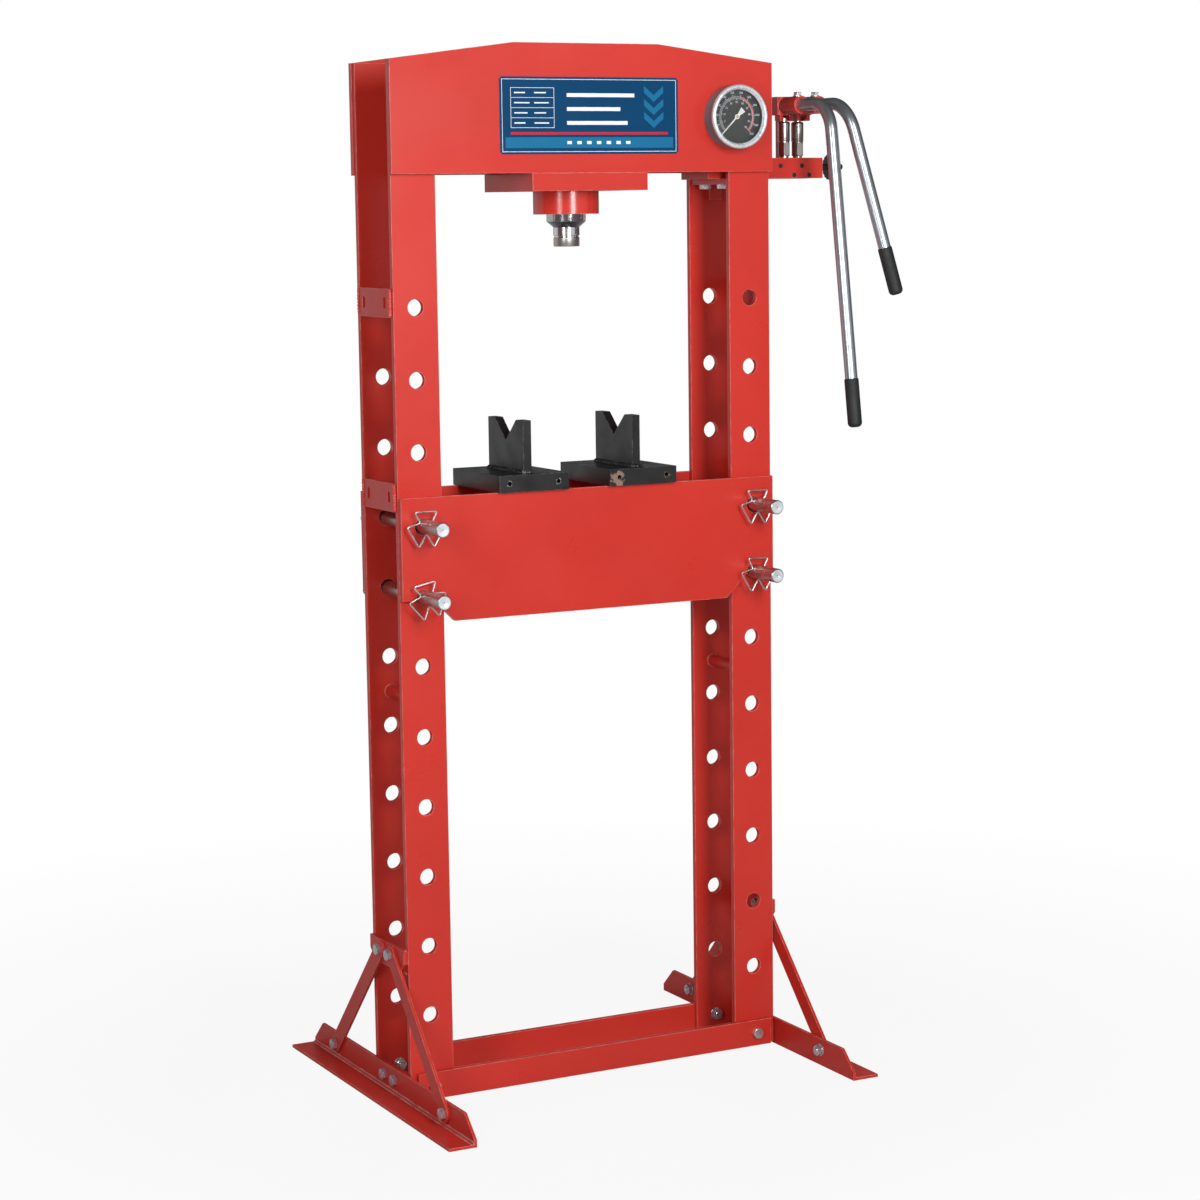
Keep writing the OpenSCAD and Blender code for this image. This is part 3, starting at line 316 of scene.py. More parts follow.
zinc = metal("zinc_plate", (0.72, 0.73, 0.77), (0.58, 0.59, 0.63), rough=0.20, grain=260.0,
             grain_depth=0.02, metallic=0.8)
steel = metal("ground_steel", (0.52, 0.51, 0.50), (0.42, 0.41, 0.40), rough=0.30, grain=60.0,
              stretch=(1.0, 14.0, 1.0))
nickel = metal("chrome_plate", (0.66, 0.65, 0.66), (0.58, 0.57, 0.58), rough=0.14, grain=70.0,
               stretch=(1.0, 1.0, 9.0), grain_depth=0.015)
dull = metal("worn_plate", (0.50, 0.48, 0.45), (0.40, 0.38, 0.36), rough=0.34, grain=90.0,
             stretch=(1.0, 1.0, 9.0), grain_depth=0.03)
# The rod's own chrome made dark for its downward-facing cone: a painted reflection of what lies below it.
cone_painted_dark = metal("turned_cone", (0.20, 0.20, 0.23), (0.15, 0.15, 0.17), rough=0.28, grain=90.0,
                  stretch=(1.0, 1.0, 9.0), grain_depth=0.01)
# This brighter metal also stands in as a painted highlight on the pump bolts.
bright = metal("bright_rim", (0.78, 0.81, 0.84), (0.68, 0.71, 0.74), rough=0.28, grain=90.0,
               grain_depth=0.01, metallic=0.40)
wire = metal("clip_wire", (0.74, 0.74, 0.76), (0.60, 0.60, 0.62), rough=0.30, grain=200.0,
             grain_depth=0.02)
brass = metal("stem_brass", (0.62, 0.45, 0.20), (0.52, 0.37, 0.16), rough=0.32, grain=60.0,
              stretch=(1.0, 12.0, 1.0))

satin = polished("satin_plate", (0.54, 0.50, 0.46), (0.44, 0.41, 0.38), rough=0.27)
tube = polished("handle_tube", (0.46, 0.49, 0.52), (0.40, 0.43, 0.46), rough=0.30, metallic=0.85)
case_metal = polished("gauge_case", (0.24, 0.26, 0.28), (0.16, 0.17, 0.19), rough=0.50, metallic=0.25)

rubber = moulded("grip_rubber", (0.009, 0.0094, 0.0105), (0.014, 0.0146, 0.016), rough=0.62,
                 grain=520.0, depth=0.18)
plastic = moulded("black_plastic", (0.014, 0.014, 0.015), (0.022, 0.022, 0.024), rough=0.42,
                  grain=600.0, depth=0.08)
dial_black = moulded("dial_face", (0.006, 0.006, 0.007), (0.009, 0.009, 0.010), rough=0.6,
                     grain=900.0, depth=0.05)
dial_white = moulded("dial_white", (0.80, 0.80, 0.79), (0.74, 0.74, 0.73), rough=0.5,
                     grain=900.0, depth=0.02)
dial_red = moulded("dial_red", (0.72, 0.10, 0.10), (0.66, 0.08, 0.08), rough=0.5,
                   grain=900.0, depth=0.02)

panel_blue = printed("panel_blue", (0.001, 0.050, 0.135), (0.001, 0.044, 0.122))
panel_pale = printed("panel_pale", (0.012, 0.150, 0.300), (0.010, 0.135, 0.275))
panel_red = printed("panel_red", (0.62, 0.020, 0.022), (0.57, 0.018, 0.020))
panel_white = printed("panel_white", (0.80, 0.81, 0.82), (0.76, 0.77, 0.78))

glass = clear_glass("gauge_glass")

# The V blocks have tapped holes in their fronts, where the enamel has chipped
TAP_HALF, TAP_RISE = 46 * MM, 14.5 * MM
CHIP_REACH, BROWN_REACH, PATCH_REACH = 6.0 * MM, 6.5 * MM, 17 * MM
PATCH_SHIFT = Vector((-4 * MM, 0.0, -2 * MM))


def tap_place(block, side):
    low, high = span(block)
    return Vector(((low.x + high.x) / 2 + side * TAP_HALF, low.y, low.z + TAP_RISE))


black_left = chipped("black_enamel",
                     [(tap_place("v_block_left", side), CHIP_REACH, PALE_CHIP) for side in (-1, 1)])
black_right = chipped("black_enamel_worn",
                      [(tap_place("v_block_right", -1) + PATCH_SHIFT, PATCH_REACH, BROWN_CHIP),
                       (tap_place("v_block_right", 1), BROWN_REACH, BROWN_CHIP)])

SLOT_MATERIALS = {
    "red_enamel": red, "zinc_plate": zinc, "ground_steel": steel, "chrome_plate": nickel,
    "handle_tube": tube, "grip_rubber": rubber, "black_plastic": plastic, "gauge_glass": glass,
    "dial_face": dial_black, "needle_white": dial_white, "stem_brass": brass, "black_enamel": black_left,
}
OWN_MATERIALS = {"v_block_right": black_right, "ram_cylinder": red_gloss, "gauge_case": case_metal}


def dress_nodes():
    """Every CAD node takes its own material, or else that of its slot."""
    for part in frame["record"]["subparts"]:
        node = part["node"]
        mesh = nodes[node].data
        mesh.materials.clear()
        mesh.materials.append(OWN_MATERIALS.get(node, SLOT_MATERIALS[part["material_slot"]]))


dress_nodes()


# Stage

WHITE = grey(1.0)
FLOOR_HALF = 40.0
FLOOR_DARK, FLOOR_PALE = 0.52, 0.55
FLOOR_ROUGH, FLOOR_GLOSS = 0.8, 0.1
FADE_FROM, FADE_TO, FLOOR_GLOW = 0.7, 2.2, 0.90
SWEEP_FROM, SWEEP_TO, SWEEP_GLOW = 0.6, 2.0, 0.5


def floor_material():
    """A pale floor that turns white away from the press, and is bright in reflections behind it."""
    g = Surface("floor")
    g.shade(Base_Color=g.mix(g.noise(2.0, 3.0), grey(FLOOR_DARK), grey(FLOOR_PALE)),
            Roughness=FLOOR_ROUGH,
            Specular_IOR_Level=FLOOR_GLOSS)
    where = g.node("ShaderNodeNewGeometry").outputs["Position"]
    away = g.feed(g.node("ShaderNodeVectorMath", operation="LENGTH"), _0=where).outputs["Value"]
    seen = g.math("MULTIPLY", g.remap(away, FADE_FROM, FADE_TO, FLOOR_GLOW, 1.0), g.in_sight())
    depth = g.feed(g.node("ShaderNodeSeparateXYZ"), _0=where).outputs["Y"]
    mirrored = g.math("MULTIPLY", g.remap(depth, SWEEP_FROM, SWEEP_TO, 0.0, SWEEP_GLOW), g.in_mirror())
    glow = g.feed(g.node("ShaderNodeEmission"), Color=WHITE).outputs["Emission"]
    shown = g.blend(g.math("MAXIMUM", seen, mirrored), g.shader.outputs["BSDF"], glow)
    g.link(shown, g.tree.nodes["Material Output"].inputs["Surface"])
    return g.material


def add_floor():
    mesh = bpy.data.meshes.new("floor")
    corners = [(-1, -1), (1, -1), (1, 1), (-1, 1)]
    mesh.from_pydata([(x * FLOOR_HALF, y * FLOOR_HALF, 0.0) for x, y in corners], [], [(0, 1, 2, 3)])
    mesh.materials.append(floor_material())
    floor = add_object("floor", mesh)


# Brightness of the room that bright metal reflects, by azimuth in degrees; both sides are dark
ROOM = [(-180, 0.12), (-158, 0.12), (-148, 0.45), (-110, 0.40), (-88, 0.95), (-44, 0.95), (-30, 0.08),
        (44, 0.08), (52, 0.38), (76, 0.38), (90, 0.20), (112, 0.85), (154, 0.85), (164, 0.12), (180, 0.12)]
SKY_TINT = (0.96, 0.98, 1.0, 1.0)
SKY_FROM, SKY_TO, LOW_LIGHT, HIGH_LIGHT = 0.1, 0.9, 0.36, 0.12
CEILING_FROM, CEILING_TO, CEILING_LEVEL = 0.10, 0.32, 0.12


def set_world():
    """Soft light that is weaker from above, a white backdrop, and a darker room for reflections."""
    world = bpy.data.worlds.new("studio")
    g = Graph(world)

    def sky(strength):
        made = g.node("ShaderNodeBackground")
        return g.feed(made, Color=SKY_TINT, Strength=strength).outputs["Background"]

    way = g.node("ShaderNodeTexCoord").outputs["Generated"]
    height = g.feed(g.node("ShaderNodeSeparateXYZ"), _0=way).outputs["Z"]
    azimuth = g.feed(g.node("ShaderNodeTexGradient", gradient_type="RADIAL"), Vector=way).outputs["Fac"]
    room = g.feed(g.node("ShaderNodeValToRGB"), Fac=azimuth)
    stops = room.color_ramp.elements
    while len(stops) < len(ROOM):
        stops.new(0.5)
    for stop, (degrees, level) in zip(stops, ROOM):
        stop.position = (degrees + 180) / 360
        stop.color = grey(level)
    soft = sky(g.remap(height, SKY_FROM, SKY_TO, LOW_LIGHT, HIGH_LIGHT, "SMOOTHSTEP"))
    ceiling = g.remap(height, CEILING_FROM, CEILING_TO, 1.0, CEILING_LEVEL, "SMOOTHSTEP")
    mirrored = sky(g.math("MULTIPLY", room.outputs["Color"], ceiling))
    backdrop = g.feed(g.tree.nodes["Background"], Color=WHITE).outputs["Background"]
    result = g.blend(g.in_sight(), g.blend(g.in_mirror(), soft, mirrored), backdrop)
    g.link(result, g.tree.nodes["World Output"].inputs["Surface"])
    bpy.context.scene.world = world


AIM_DROP = 0.3


def softbox(name, azimuth, away, height, size, watts, mirrored=True):
    """An upright lamp panel at an azimuth in degrees, facing the press."""
    turn = math.radians(azimuth)
    place = Vector((away * math.cos(turn), away * math.sin(turn), height))
    aim = Vector((0.0, 0.0, height - AIM_DROP))
    data = bpy.data.lights.new(name, "AREA")
    data.shape = "RECTANGLE"
    data.size, data.size_y = size
    data.energy = watts
    lamp = add_object(name, data)
    lamp.location = place
    lamp.rotation_euler = (aim - place).to_track_quat("-Z", "Y").to_euler()
    lamp.visible_glossy = mirrored


add_floor()
set_world()
softbox("front_box", azimuth=268, away=3.4, height=2.06, size=(0.80, 1.8), watts=95.0)
softbox("left_box", azimuth=221, away=3.5, height=2.04, size=(0.70, 1.8), watts=42.0)
softbox("rear_box", azimuth=62, away=3.5, height=1.90, size=(1.2, 1.8), watts=48.0, mirrored=False)


# Mesh helpers

SHARP_DEG = 35


def add_piece(name, bm, material, body, smooth=True):
    """Finishes a bmesh as an object that rides on a body."""
    bmesh.ops.recalc_face_normals(bm, faces=bm.faces)
    mesh = bpy.data.meshes.new(name)
    bm.to_mesh(mesh)
    bm.free()
    mesh.materials.append(material)
    if smooth:
        for polygon in mesh.polygons:
            polygon.use_smooth = True
        mesh.set_sharp_from_angle(angle=math.radians(SHARP_DEG))
    piece = add_object(name, mesh)
    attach(piece, body)
    return piece


def skin(bm, rows):
    """Joins rows of vertices, each a closed loop, by bands of faces."""
    for first, second in zip(rows, rows[1:]):
        count = len(first)
        for i in range(count):
            j = (i + 1) % count
            bm.faces.new((first[i], first[j], second[j], second[i]))


def capped_skin(bm, rows):
    """The same, with the first and the last row closed."""
    skin(bm, rows)
    bm.faces.new(list(reversed(rows[0])))
    bm.faces.new(rows[-1])


def stand(place, axis):
    """The matrix that puts local Z along an axis through a place."""
    turn = Vector(UP).rotation_difference(Vector(axis)).to_matrix().to_4x4()
    return Matrix.Translation(Vector(place)) @ turn


def around(sides):
    return [2 * math.pi * i / sides for i in range(sides)]


def mm(pairs):
    """A profile given in millimetres."""
    return [(radius * MM, height * MM) for radius, height in pairs]


def arc(middle, radii, start, end, steps):
    """Points of a round stretch of a profile, in degrees from its radius axis."""
    points = []
    for i in range(steps + 1):
        a = math.radians(start + (end - start) * i / steps)
        points.append((middle[0] + radii[0] * math.cos(a), middle[1] + radii[1] * math.sin(a)))
    return points


def turned_rows(bm, profile, put, sides):
    """A ring of vertices about the local Z of put for each (radius, height) pair."""
    rows = []
    for radius, height in profile:
        spots = [Vector((radius * math.cos(a), radius * math.sin(a), height)) for a in around(sides)]
        rows.append([bm.verts.new(put @ spot) for spot in spots])
    return rows


def lathe(bm, profile, place, axis, sides):
    """Turns a profile about an axis through place, with closed ends."""
    capped_skin(bm, turned_rows(bm, profile, stand(place, axis), sides))


def sweep(bm, path, radii, sides, closed=False):
    """A round tube along a path; radii is one number or one per point."""
    count = len(path)
    radii = radii if isinstance(radii, list) else [radii] * count
    rows = []
    across = None
    for i, point in enumerate(path):
        before = path[i - 1] if (closed or i > 0) else path[i]
        after = path[(i + 1) % count] if (closed or i < count - 1) else path[i]
        along = (after - before).normalized()
        if across is None:
            across = along.orthogonal().normalized()
        across = (across - along * across.dot(along)).normalized()
        over = along.cross(across)
        spots = [point + radii[i] * (math.cos(a) * across + math.sin(a) * over) for a in around(sides)]
        rows.append([bm.verts.new(spot) for spot in spots])
    if closed:
        skin(bm, rows + [rows[0]])
    else:
        capped_skin(bm, rows)


def bar(bm, low, high):
    """A box between two corners."""
    made = bmesh.ops.create_cube(bm, size=1.0)
    size = Vector(high) - Vector(low)
    middle = (Vector(high) + Vector(low)) / 2
    for vert in made["verts"]:
        vert.co = Vector([vert.co[i] * size[i] for i in range(3)]) + middle


# Gauge

GAUGE_X, GAUGE_Z = middle_of("gauge_case").x, middle_of("gauge_case").z
DIAL_FRONT = span("gauge_dial")[0].y
INK = 0.15 * MM
SCALE_START, SCALE_SWEEP, SCALE_FACETS = 225.0, 270.0, 90
OUTER_STEPS, OUTER_UNIT, OUTER_NUMBER, OUTER_FONT = 11, 50, 41.3 * MM, 5.2 * MM
INNER_STEPS, INNER_UNIT, INNER_NUMBER, INNER_FONT = 10, 5, 25.0 * MM, 4.6 * MM
OUTER_TICK, OUTER_FINE = (33.5 * MM, 37.5 * MM), (33.5 * MM, 35.5 * MM)
INNER_TICK, INNER_FINE = (28.5 * MM, 31.5 * MM), (29.9 * MM, 31.5 * MM)
FINE_STEPS = 5
TICK_HALF, FINE_HALF, LINE_HALF = 0.35 * MM, 0.2 * MM, 0.2 * MM
RED_ARC_R, RED_ARC_W = 33.0 * MM, 1.7 * MM
RED_ARC_FROM, RED_ARC_TO, RED_ARC_FACETS = 69.0, -45.0, 60
HUB_PROFILE = mm([(2.6, 0.0), (2.6, 0.7), (1.9, 1.3), (0.5, 1.5)])


def on_dial(radius, degrees, lift=INK):
    a = math.radians(degrees)
    return Vector((GAUGE_X + radius * math.cos(a), DIAL_FRONT - lift, GAUGE_Z + radius * math.sin(a)))


def dial_strip(bm, r0, r1, a0, a1, steps):
    """A flat band on the dial between two radii and two angles."""
    section = ((r0, 0.0), (r0, INK), (r1, INK), (r1, 0.0))
    rows = []
    for i in range(steps + 1):
        a = a0 + (a1 - a0) * i / steps
        rows.append([bm.verts.new(on_dial(radius, a, lift)) for radius, lift in section])
    capped_skin(bm, rows)


def dial_ticks():
    bm = bmesh.new()
    for steps, main, fine in ((OUTER_STEPS, OUTER_TICK, OUTER_FINE), (INNER_STEPS, INNER_TICK, INNER_FINE)):
        count = steps * FINE_STEPS
        for i in range(count + 1):
            angle = SCALE_START - SCALE_SWEEP * i / count
            (r0, r1), width = (fine, FINE_HALF) if i % FINE_STEPS else (main, TICK_HALF)
            half = math.degrees(width / main[0])
            dial_strip(bm, r0, r1, angle + half, angle - half, 1)
    for radius in (OUTER_TICK[0], INNER_TICK[1]):
        dial_strip(bm, radius - LINE_HALF, radius + LINE_HALF, SCALE_START, SCALE_START - SCALE_SWEEP,
                   SCALE_FACETS)
    add_piece("dial_ticks", bm, dial_white, "frame", smooth=False)


def dial_red_arc():
    """The red arc, one layer of ink above the white lines."""
    bm = bmesh.new()
    dial_strip(bm, RED_ARC_R - RED_ARC_W / 2, RED_ARC_R + RED_ARC_W / 2, RED_ARC_FROM, RED_ARC_TO,
               RED_ARC_FACETS)
    for vert in bm.verts:
        if vert.co.y < DIAL_FRONT - INK / 2:
            vert.co.y -= INK
    add_piece("dial_red_arc", bm, dial_red, "frame", smooth=False)


def number_mesh(text, size):
    """A printed number as a flat mesh, centred on the origin and facing +Z."""
    curve = bpy.data.curves.new("number", "FONT")
    curve.body = text
    curve.size = size
    curve.align_x = "CENTER"
    curve.align_y = "CENTER"
    curve.extrude = INK / 2
    curve.resolution_u = 3
    holder = add_object("number", curve)
    mesh = bpy.data.meshes.new_from_object(holder.evaluated_get(bpy.context.evaluated_depsgraph_get()))
    bpy.data.objects.remove(holder)
    return mesh


def dial_numbers():
    bm = bmesh.new()
    upright = Matrix.Rotation(math.radians(90), 4, "X")
    for steps, unit, radius, size in ((OUTER_STEPS, OUTER_UNIT, OUTER_NUMBER, OUTER_FONT),
                                      (INNER_STEPS, INNER_UNIT, INNER_NUMBER, INNER_FONT)):
        for i in range(steps + 1):
            place = on_dial(radius, SCALE_START - SCALE_SWEEP * i / steps)
            mesh = number_mesh(str(i * unit), size)
            mesh.transform(Matrix.Translation(place) @ upright)
            bm.from_mesh(mesh)
            bpy.data.meshes.remove(mesh)
    add_piece("dial_numbers", bm, dial_white, "frame", smooth=False)


def needle_hub():
    bm = bmesh.new()
    lathe(bm, HUB_PROFILE, (GAUGE_X, span("gauge_needle")[0].y, GAUGE_Z), FRONT, sides=28)
    add_piece("needle_hub", bm, brass, "needle")


dial_ticks()
dial_red_arc()
dial_numbers()
needle_hub()


# Label panel with a plain generic layout, whose boxes are (left, low, right, high) shares of its size

HEAD_FRONT = span("head_plate_front")[0].y
PANEL_X, PANEL_Z = (-164 * MM, 174 * MM), (1599 * MM, 1727 * MM)
PANEL_W, PANEL_H = PANEL_X[1] - PANEL_X[0], PANEL_Z[1] - PANEL_Z[0]
PANEL_T, PANEL_CORNER, PRINT_T = 0.6 * MM, 3 * MM, 0.12 * MM
BORDER, BORDER_W = (0.012, 0.03, 0.988, 0.97), 0.9 * MM
BAND = (0.03, 0.08, 0.97, 0.22)
RULE = (0.06, 0.255, 0.94, 0.285)
SQUARE, SQUARE_COUNT, SQUARE_STEP = (0.37, 0.13, 0.395, 0.17), 7, 0.055
GRID, GRID_W, GRID_LINE_HALF = (0.06, 0.34, 0.30, 0.86), 0.8 * MM, 0.003
DASH_RISE, DASH_H, DASH_STARTS = 0.055, 0.017, (0.08, 0.19)
DASH_ENDS = [(0.140, 0.270), (0.152, 0.255), (0.164, 0.270), (0.140, 0.255)]
STRIPE_LEFT, STRIPE_H = 0.37, 0.05
STRIPES = [(0.74, 0.38), (0.56, 0.30), (0.38, 0.34)]
ARROW_MIDDLE, ARROW_LOW, ARROW_COUNT, ARROW_STEP = 0.86, 0.34, 3, 0.17
ARROW_HALF, ARROW_RISE, ARROW_THICK = 0.055, 0.12, 0.09


def on_panel(u, v):
    """A point on the panel from shares of its width and height."""
    return PANEL_X[0] + u * PANEL_W, PANEL_Z[0] + v * PANEL_H


def print_front(layer):
    """How far forward a layer of print stands; layers stack outwards from the head plate."""
    return HEAD_FRONT - PANEL_T - layer * PRINT_T


def patch(bm, box, layer=1):
    """A flat printed rectangle."""
    left, low, right, high = box
    x0, z0 = on_panel(left, low)
    x1, z1 = on_panel(right, high)
    bar(bm, (x0, print_front(layer), z0), (x1, HEAD_FRONT, z1))


def outline(bm, box, width):
    """A printed frame of thin lines."""
    left, low, right, high = box
    w_u, w_v = width / PANEL_W, width / PANEL_H
    patch(bm, (left, low, right, low + w_v))
    patch(bm, (left, high - w_v, right, high))
    patch(bm, (left, low + w_v, left + w_u, high - w_v))
    patch(bm, (right - w_u, low + w_v, right, high - w_v))


def arrow_head(bm, tip):
    """A printed arrow head that points down, with its tip at a share of the panel's height."""
    lower = [(-ARROW_HALF, ARROW_RISE), (0.0, 0.0), (ARROW_HALF, ARROW_RISE)]
    shape = lower + [(across, up + ARROW_THICK) for across, up in reversed(lower)]
    rows = []
    for y in (print_front(1), HEAD_FRONT):
        spots = [on_panel(ARROW_MIDDLE + across, tip + up) for across, up in shape]
        rows.append([bm.verts.new((x, y, z)) for x, z in spots])
    skin(bm, rows)
    for row in (rows[0], list(reversed(rows[1]))):
        bm.faces.new((row[0], row[1], row[4], row[5]))
        bm.faces.new((row[1], row[2], row[3], row[4]))


def label_back():
    bm = bmesh.new()
    patch(bm, (0.0, 0.0, 1.0, 1.0), 0)
    deep = [e for e in bm.edges if abs(e.verts[0].co.y - e.verts[1].co.y) > PANEL_T / 2]
    bmesh.ops.bevel(bm, geom=deep, offset=PANEL_CORNER, segments=5, affect="EDGES")
    add_piece("label_panel", bm, panel_blue, "frame", smooth=False)


def label_band():
    bm = bmesh.new()
    patch(bm, BAND)
    for i in range(ARROW_COUNT):
        arrow_head(bm, ARROW_LOW + ARROW_STEP * i)
    add_piece("label_band", bm, panel_pale, "frame", smooth=False)


def label_lines():
    bm = bmesh.new()
    outline(bm, BORDER, BORDER_W)
    outline(bm, GRID, GRID_W)
    left, low, right, high = GRID
    rows = [low + (high - low) * i / len(DASH_ENDS) for i in range(len(DASH_ENDS))]
    for v in rows[1:]:
        patch(bm, (left, v - GRID_LINE_HALF, right, v + GRID_LINE_HALF))
    for v, ends in zip(rows, DASH_ENDS):
        for start, end in zip(DASH_STARTS, ends):
            patch(bm, (start, v + DASH_RISE, end, v + DASH_RISE + DASH_H))
    left, low, right, high = SQUARE
    for i in range(SQUARE_COUNT):
        patch(bm, (left + SQUARE_STEP * i, low, right + SQUARE_STEP * i, high), 2)
    for v, width in STRIPES:
        patch(bm, (STRIPE_LEFT, v, STRIPE_LEFT + width, v + STRIPE_H))
    add_piece("label_lines", bm, panel_white, "frame", smooth=False)


def label_rule():
    bm = bmesh.new()
    patch(bm, RULE)
    add_piece("label_rule", bm, panel_red, "frame", smooth=False)


label_back()
label_band()
label_lines()
label_rule()


# Bent-wire clips and faced ends of the bed pins

WIRE_R, WIRE_PLAY = 1.5 * MM, 0.1 * MM
LOBES_DEG, LOBE_HALF_DEG, HUG_DEG = (90.0, 210.0, 330.0), 60.0, 54.0
LOBE_REACH, LOBE_HALF, LOBE_SAG = 28.0 * MM, 20.5 * MM, 3.0 * MM
HUG_ROUND, LOBE_ROUND, ROUND_STEPS = 1.4 * MM, 5.0 * MM, 6
CLIP_TURNS = {"upper_left": 0.0, "upper_right": 0.0, "lower_left": 12.0, "lower_right": 0.0}
PIN_CHAMFER = 1.5 * MM
FACE_SINK, FACE_EDGE, FACE_CROWN = 0.05 * MM, 0.1 * MM, 0.16 * MM
CENTRE_R, CENTRE_FLOOR_R = 1.5 * MM, 1.0 * MM


def rounded_loop(corners, radii):
    """Closed path whose corners are quadratic curves."""
    path = []
    count = len(corners)
    for i, corner in enumerate(corners):
        first = corner + radii[i] * (corners[i - 1] - corner).normalized()
        last = corner + radii[i] * (corners[(i + 1) % count] - corner).normalized()
        for k in range(ROUND_STEPS + 1):
            t = k / ROUND_STEPS
            path.append(first * (1 - t) ** 2 + corner * 2 * t * (1 - t) + last * t ** 2)
    return path


def clip_path(middle, hug_r, turn):
    """Three lobes of wire that hug the pin between them, turned by an angle in degrees."""
    corners = []
    radii = []
    lean = math.radians(turn)
    sag = LOBE_SAG * Vector((math.sin(lean), 0.0, -math.cos(lean)))
    for lobe in LOBES_DEG:
        a = math.radians(lobe + turn)
        out = Vector((math.cos(a), 0.0, math.sin(a)))
        side = Vector((math.sin(a), 0.0, -math.cos(a)))
        for sign in (1, -1):
            b = a - sign * math.radians(HUG_DEG)
            hug = hug_r * Vector((math.cos(b), 0.0, math.sin(b)))
            far = LOBE_REACH * out + sign * LOBE_HALF * side + sag
            pair = [(hug, HUG_ROUND), (far, LOBE_ROUND)]
            for point, radius in (pair if sign > 0 else reversed(pair)):
                corners.append(middle + point)
                radii.append(radius)
    return rounded_loop(corners, radii)


def pin_clips():
    for place, turn in CLIP_TURNS.items():
        pin_low, pin_high = span("pin_" + place)
        clip_low, clip_high = span("clips_" + place)
        middle = (pin_low + pin_high) / 2
        rest_r = (pin_high.x - pin_low.x) / 2 + WIRE_R + WIRE_PLAY
        hug_r = rest_r / math.cos(math.radians(LOBE_HALF_DEG - HUG_DEG))
        bm = bmesh.new()
        for y in (clip_low.y + WIRE_R, clip_high.y - WIRE_R):
            path = clip_path(Vector((middle.x, y, middle.z)), hug_r, turn)
            sweep(bm, path, WIRE_R, sides=10, closed=True)
        clips = add_piece("wire_clips_" + place, bm, wire, place + "_pin")
        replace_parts(clips, "clips_" + place)


def pin_faces():
    """Faced-off front ends of the bed pins, brighter than their rolled sides."""
    for place in CLIP_TURNS:
        low, high = span("pin_" + place)
        face_r = (high.x - low.x) / 2 - PIN_CHAMFER
        profile = [(face_r, 0.0), (face_r, FACE_EDGE), (CENTRE_R, FACE_CROWN), (CENTRE_FLOOR_R, FACE_SINK)]
        middle = (low + high) / 2
        bm = bmesh.new()
        lathe(bm, profile, (middle.x, low.y + FACE_SINK, middle.z), FRONT, sides=40)
        add_piece("pin_face_" + place, bm, bright, place + "_pin")


pin_clips()
pin_faces()


# Bolts, nuts and washers

BOLT_AF, BOLT_R, BOLT_POINT = 18 * MM, 6 * MM, 1.2 * MM
HEAD_H, NUT_H, TAIL = 8 * MM, 10 * MM, 2 * MM
WASHER_R, WASHER_T, WASHER_EDGE_SHARE = 11 * MM, 2 * MM, 0.15
HEX_POINTS, CORNER_CUT_SHARE, FLAT_CUT_SHARE, FACE_SHARE = 12, 0.09, 0.12, 0.95
COLUMN_X = middle_of("pin_upper_right").x
BRACE_T, BRACE_HALF = 5 * MM, 15 * MM
TAB_BOLT_Y = 22.5 * MM
TAB_GRIP, FOOT_GRIP, BRACKET_GRIP, RAIL_GRIP = 13 * MM, 10 * MM, 12 * MM, 20 * MM
LEVER_Z = middle_of("lever_pivot").z
CLAMP_Y, CLAMP_RISE = -47 * MM, 15.1 * MM
CLAMP_AF, CLAMP_TOP, CLAMP_WASHER_R, CLAMP_WASHER_T = 13 * MM, 7.5 * MM, 8 * MM, 1.6 * MM


def hexagon(bm, put, af, low, high, turned_low=False, limit=math.inf):
    """A hexagon along the local Z of put, with its corners turned off at the upper end or at both.

    No corner is further from the axis than limit.
    """
    cut = CORNER_CUT_SHARE * af
    corner_r = min(af / 2 / math.cos(math.radians(30)), limit)

    def ring(level, drop):
        made = []
        for i, a in enumerate(around(HEX_POINTS)):
            radius, sunk = (af / 2, FLAT_CUT_SHARE * drop) if i % 2 else (corner_r, drop)
            spot = Vector((radius * math.cos(a), radius * math.sin(a), level - sunk))
            made.append(bm.verts.new(put @ spot))
        return made

    def face(level):
        return turned_rows(bm, [(FACE_SHARE * af / 2, level)], put, HEX_POINTS)[0]

    rows = [face(low), ring(low, -cut)] if turned_low else [ring(low, 0.0)]
    capped_skin(bm, rows + [ring(high, cut), face(high)])


def washer(bm, put, level, radius, thick):
    edge = WASHER_EDGE_SHARE * thick
    profile = [(radius - edge, 0.0), (radius, edge), (radius, thick - edge), (radius - edge, thick)]
    lathe(bm, profile, put @ Vector((0, 0, level)), put.to_3x3() @ Vector(UP), sides=32)


def frame_bolt(bm, seat, out, grip):
    """A bolt whose head sits at seat and points along out, with its nut past the grip."""
    put = stand(seat, out)
    hexagon(bm, put, BOLT_AF, 0.0, HEAD_H)
    washer(bm, put, -grip - WASHER_T, WASHER_R, WASHER_T)
    hexagon(bm, put, BOLT_AF, -grip - NUT_H, -grip - WASHER_T, turned_low=True)
    length = grip + NUT_H + TAIL
    shank = [(BOLT_R - BOLT_POINT, 0.0), (BOLT_R, BOLT_POINT), (BOLT_R, length)]
    lathe(bm, shank, put @ Vector((0, 0, -length)), out, sides=24)


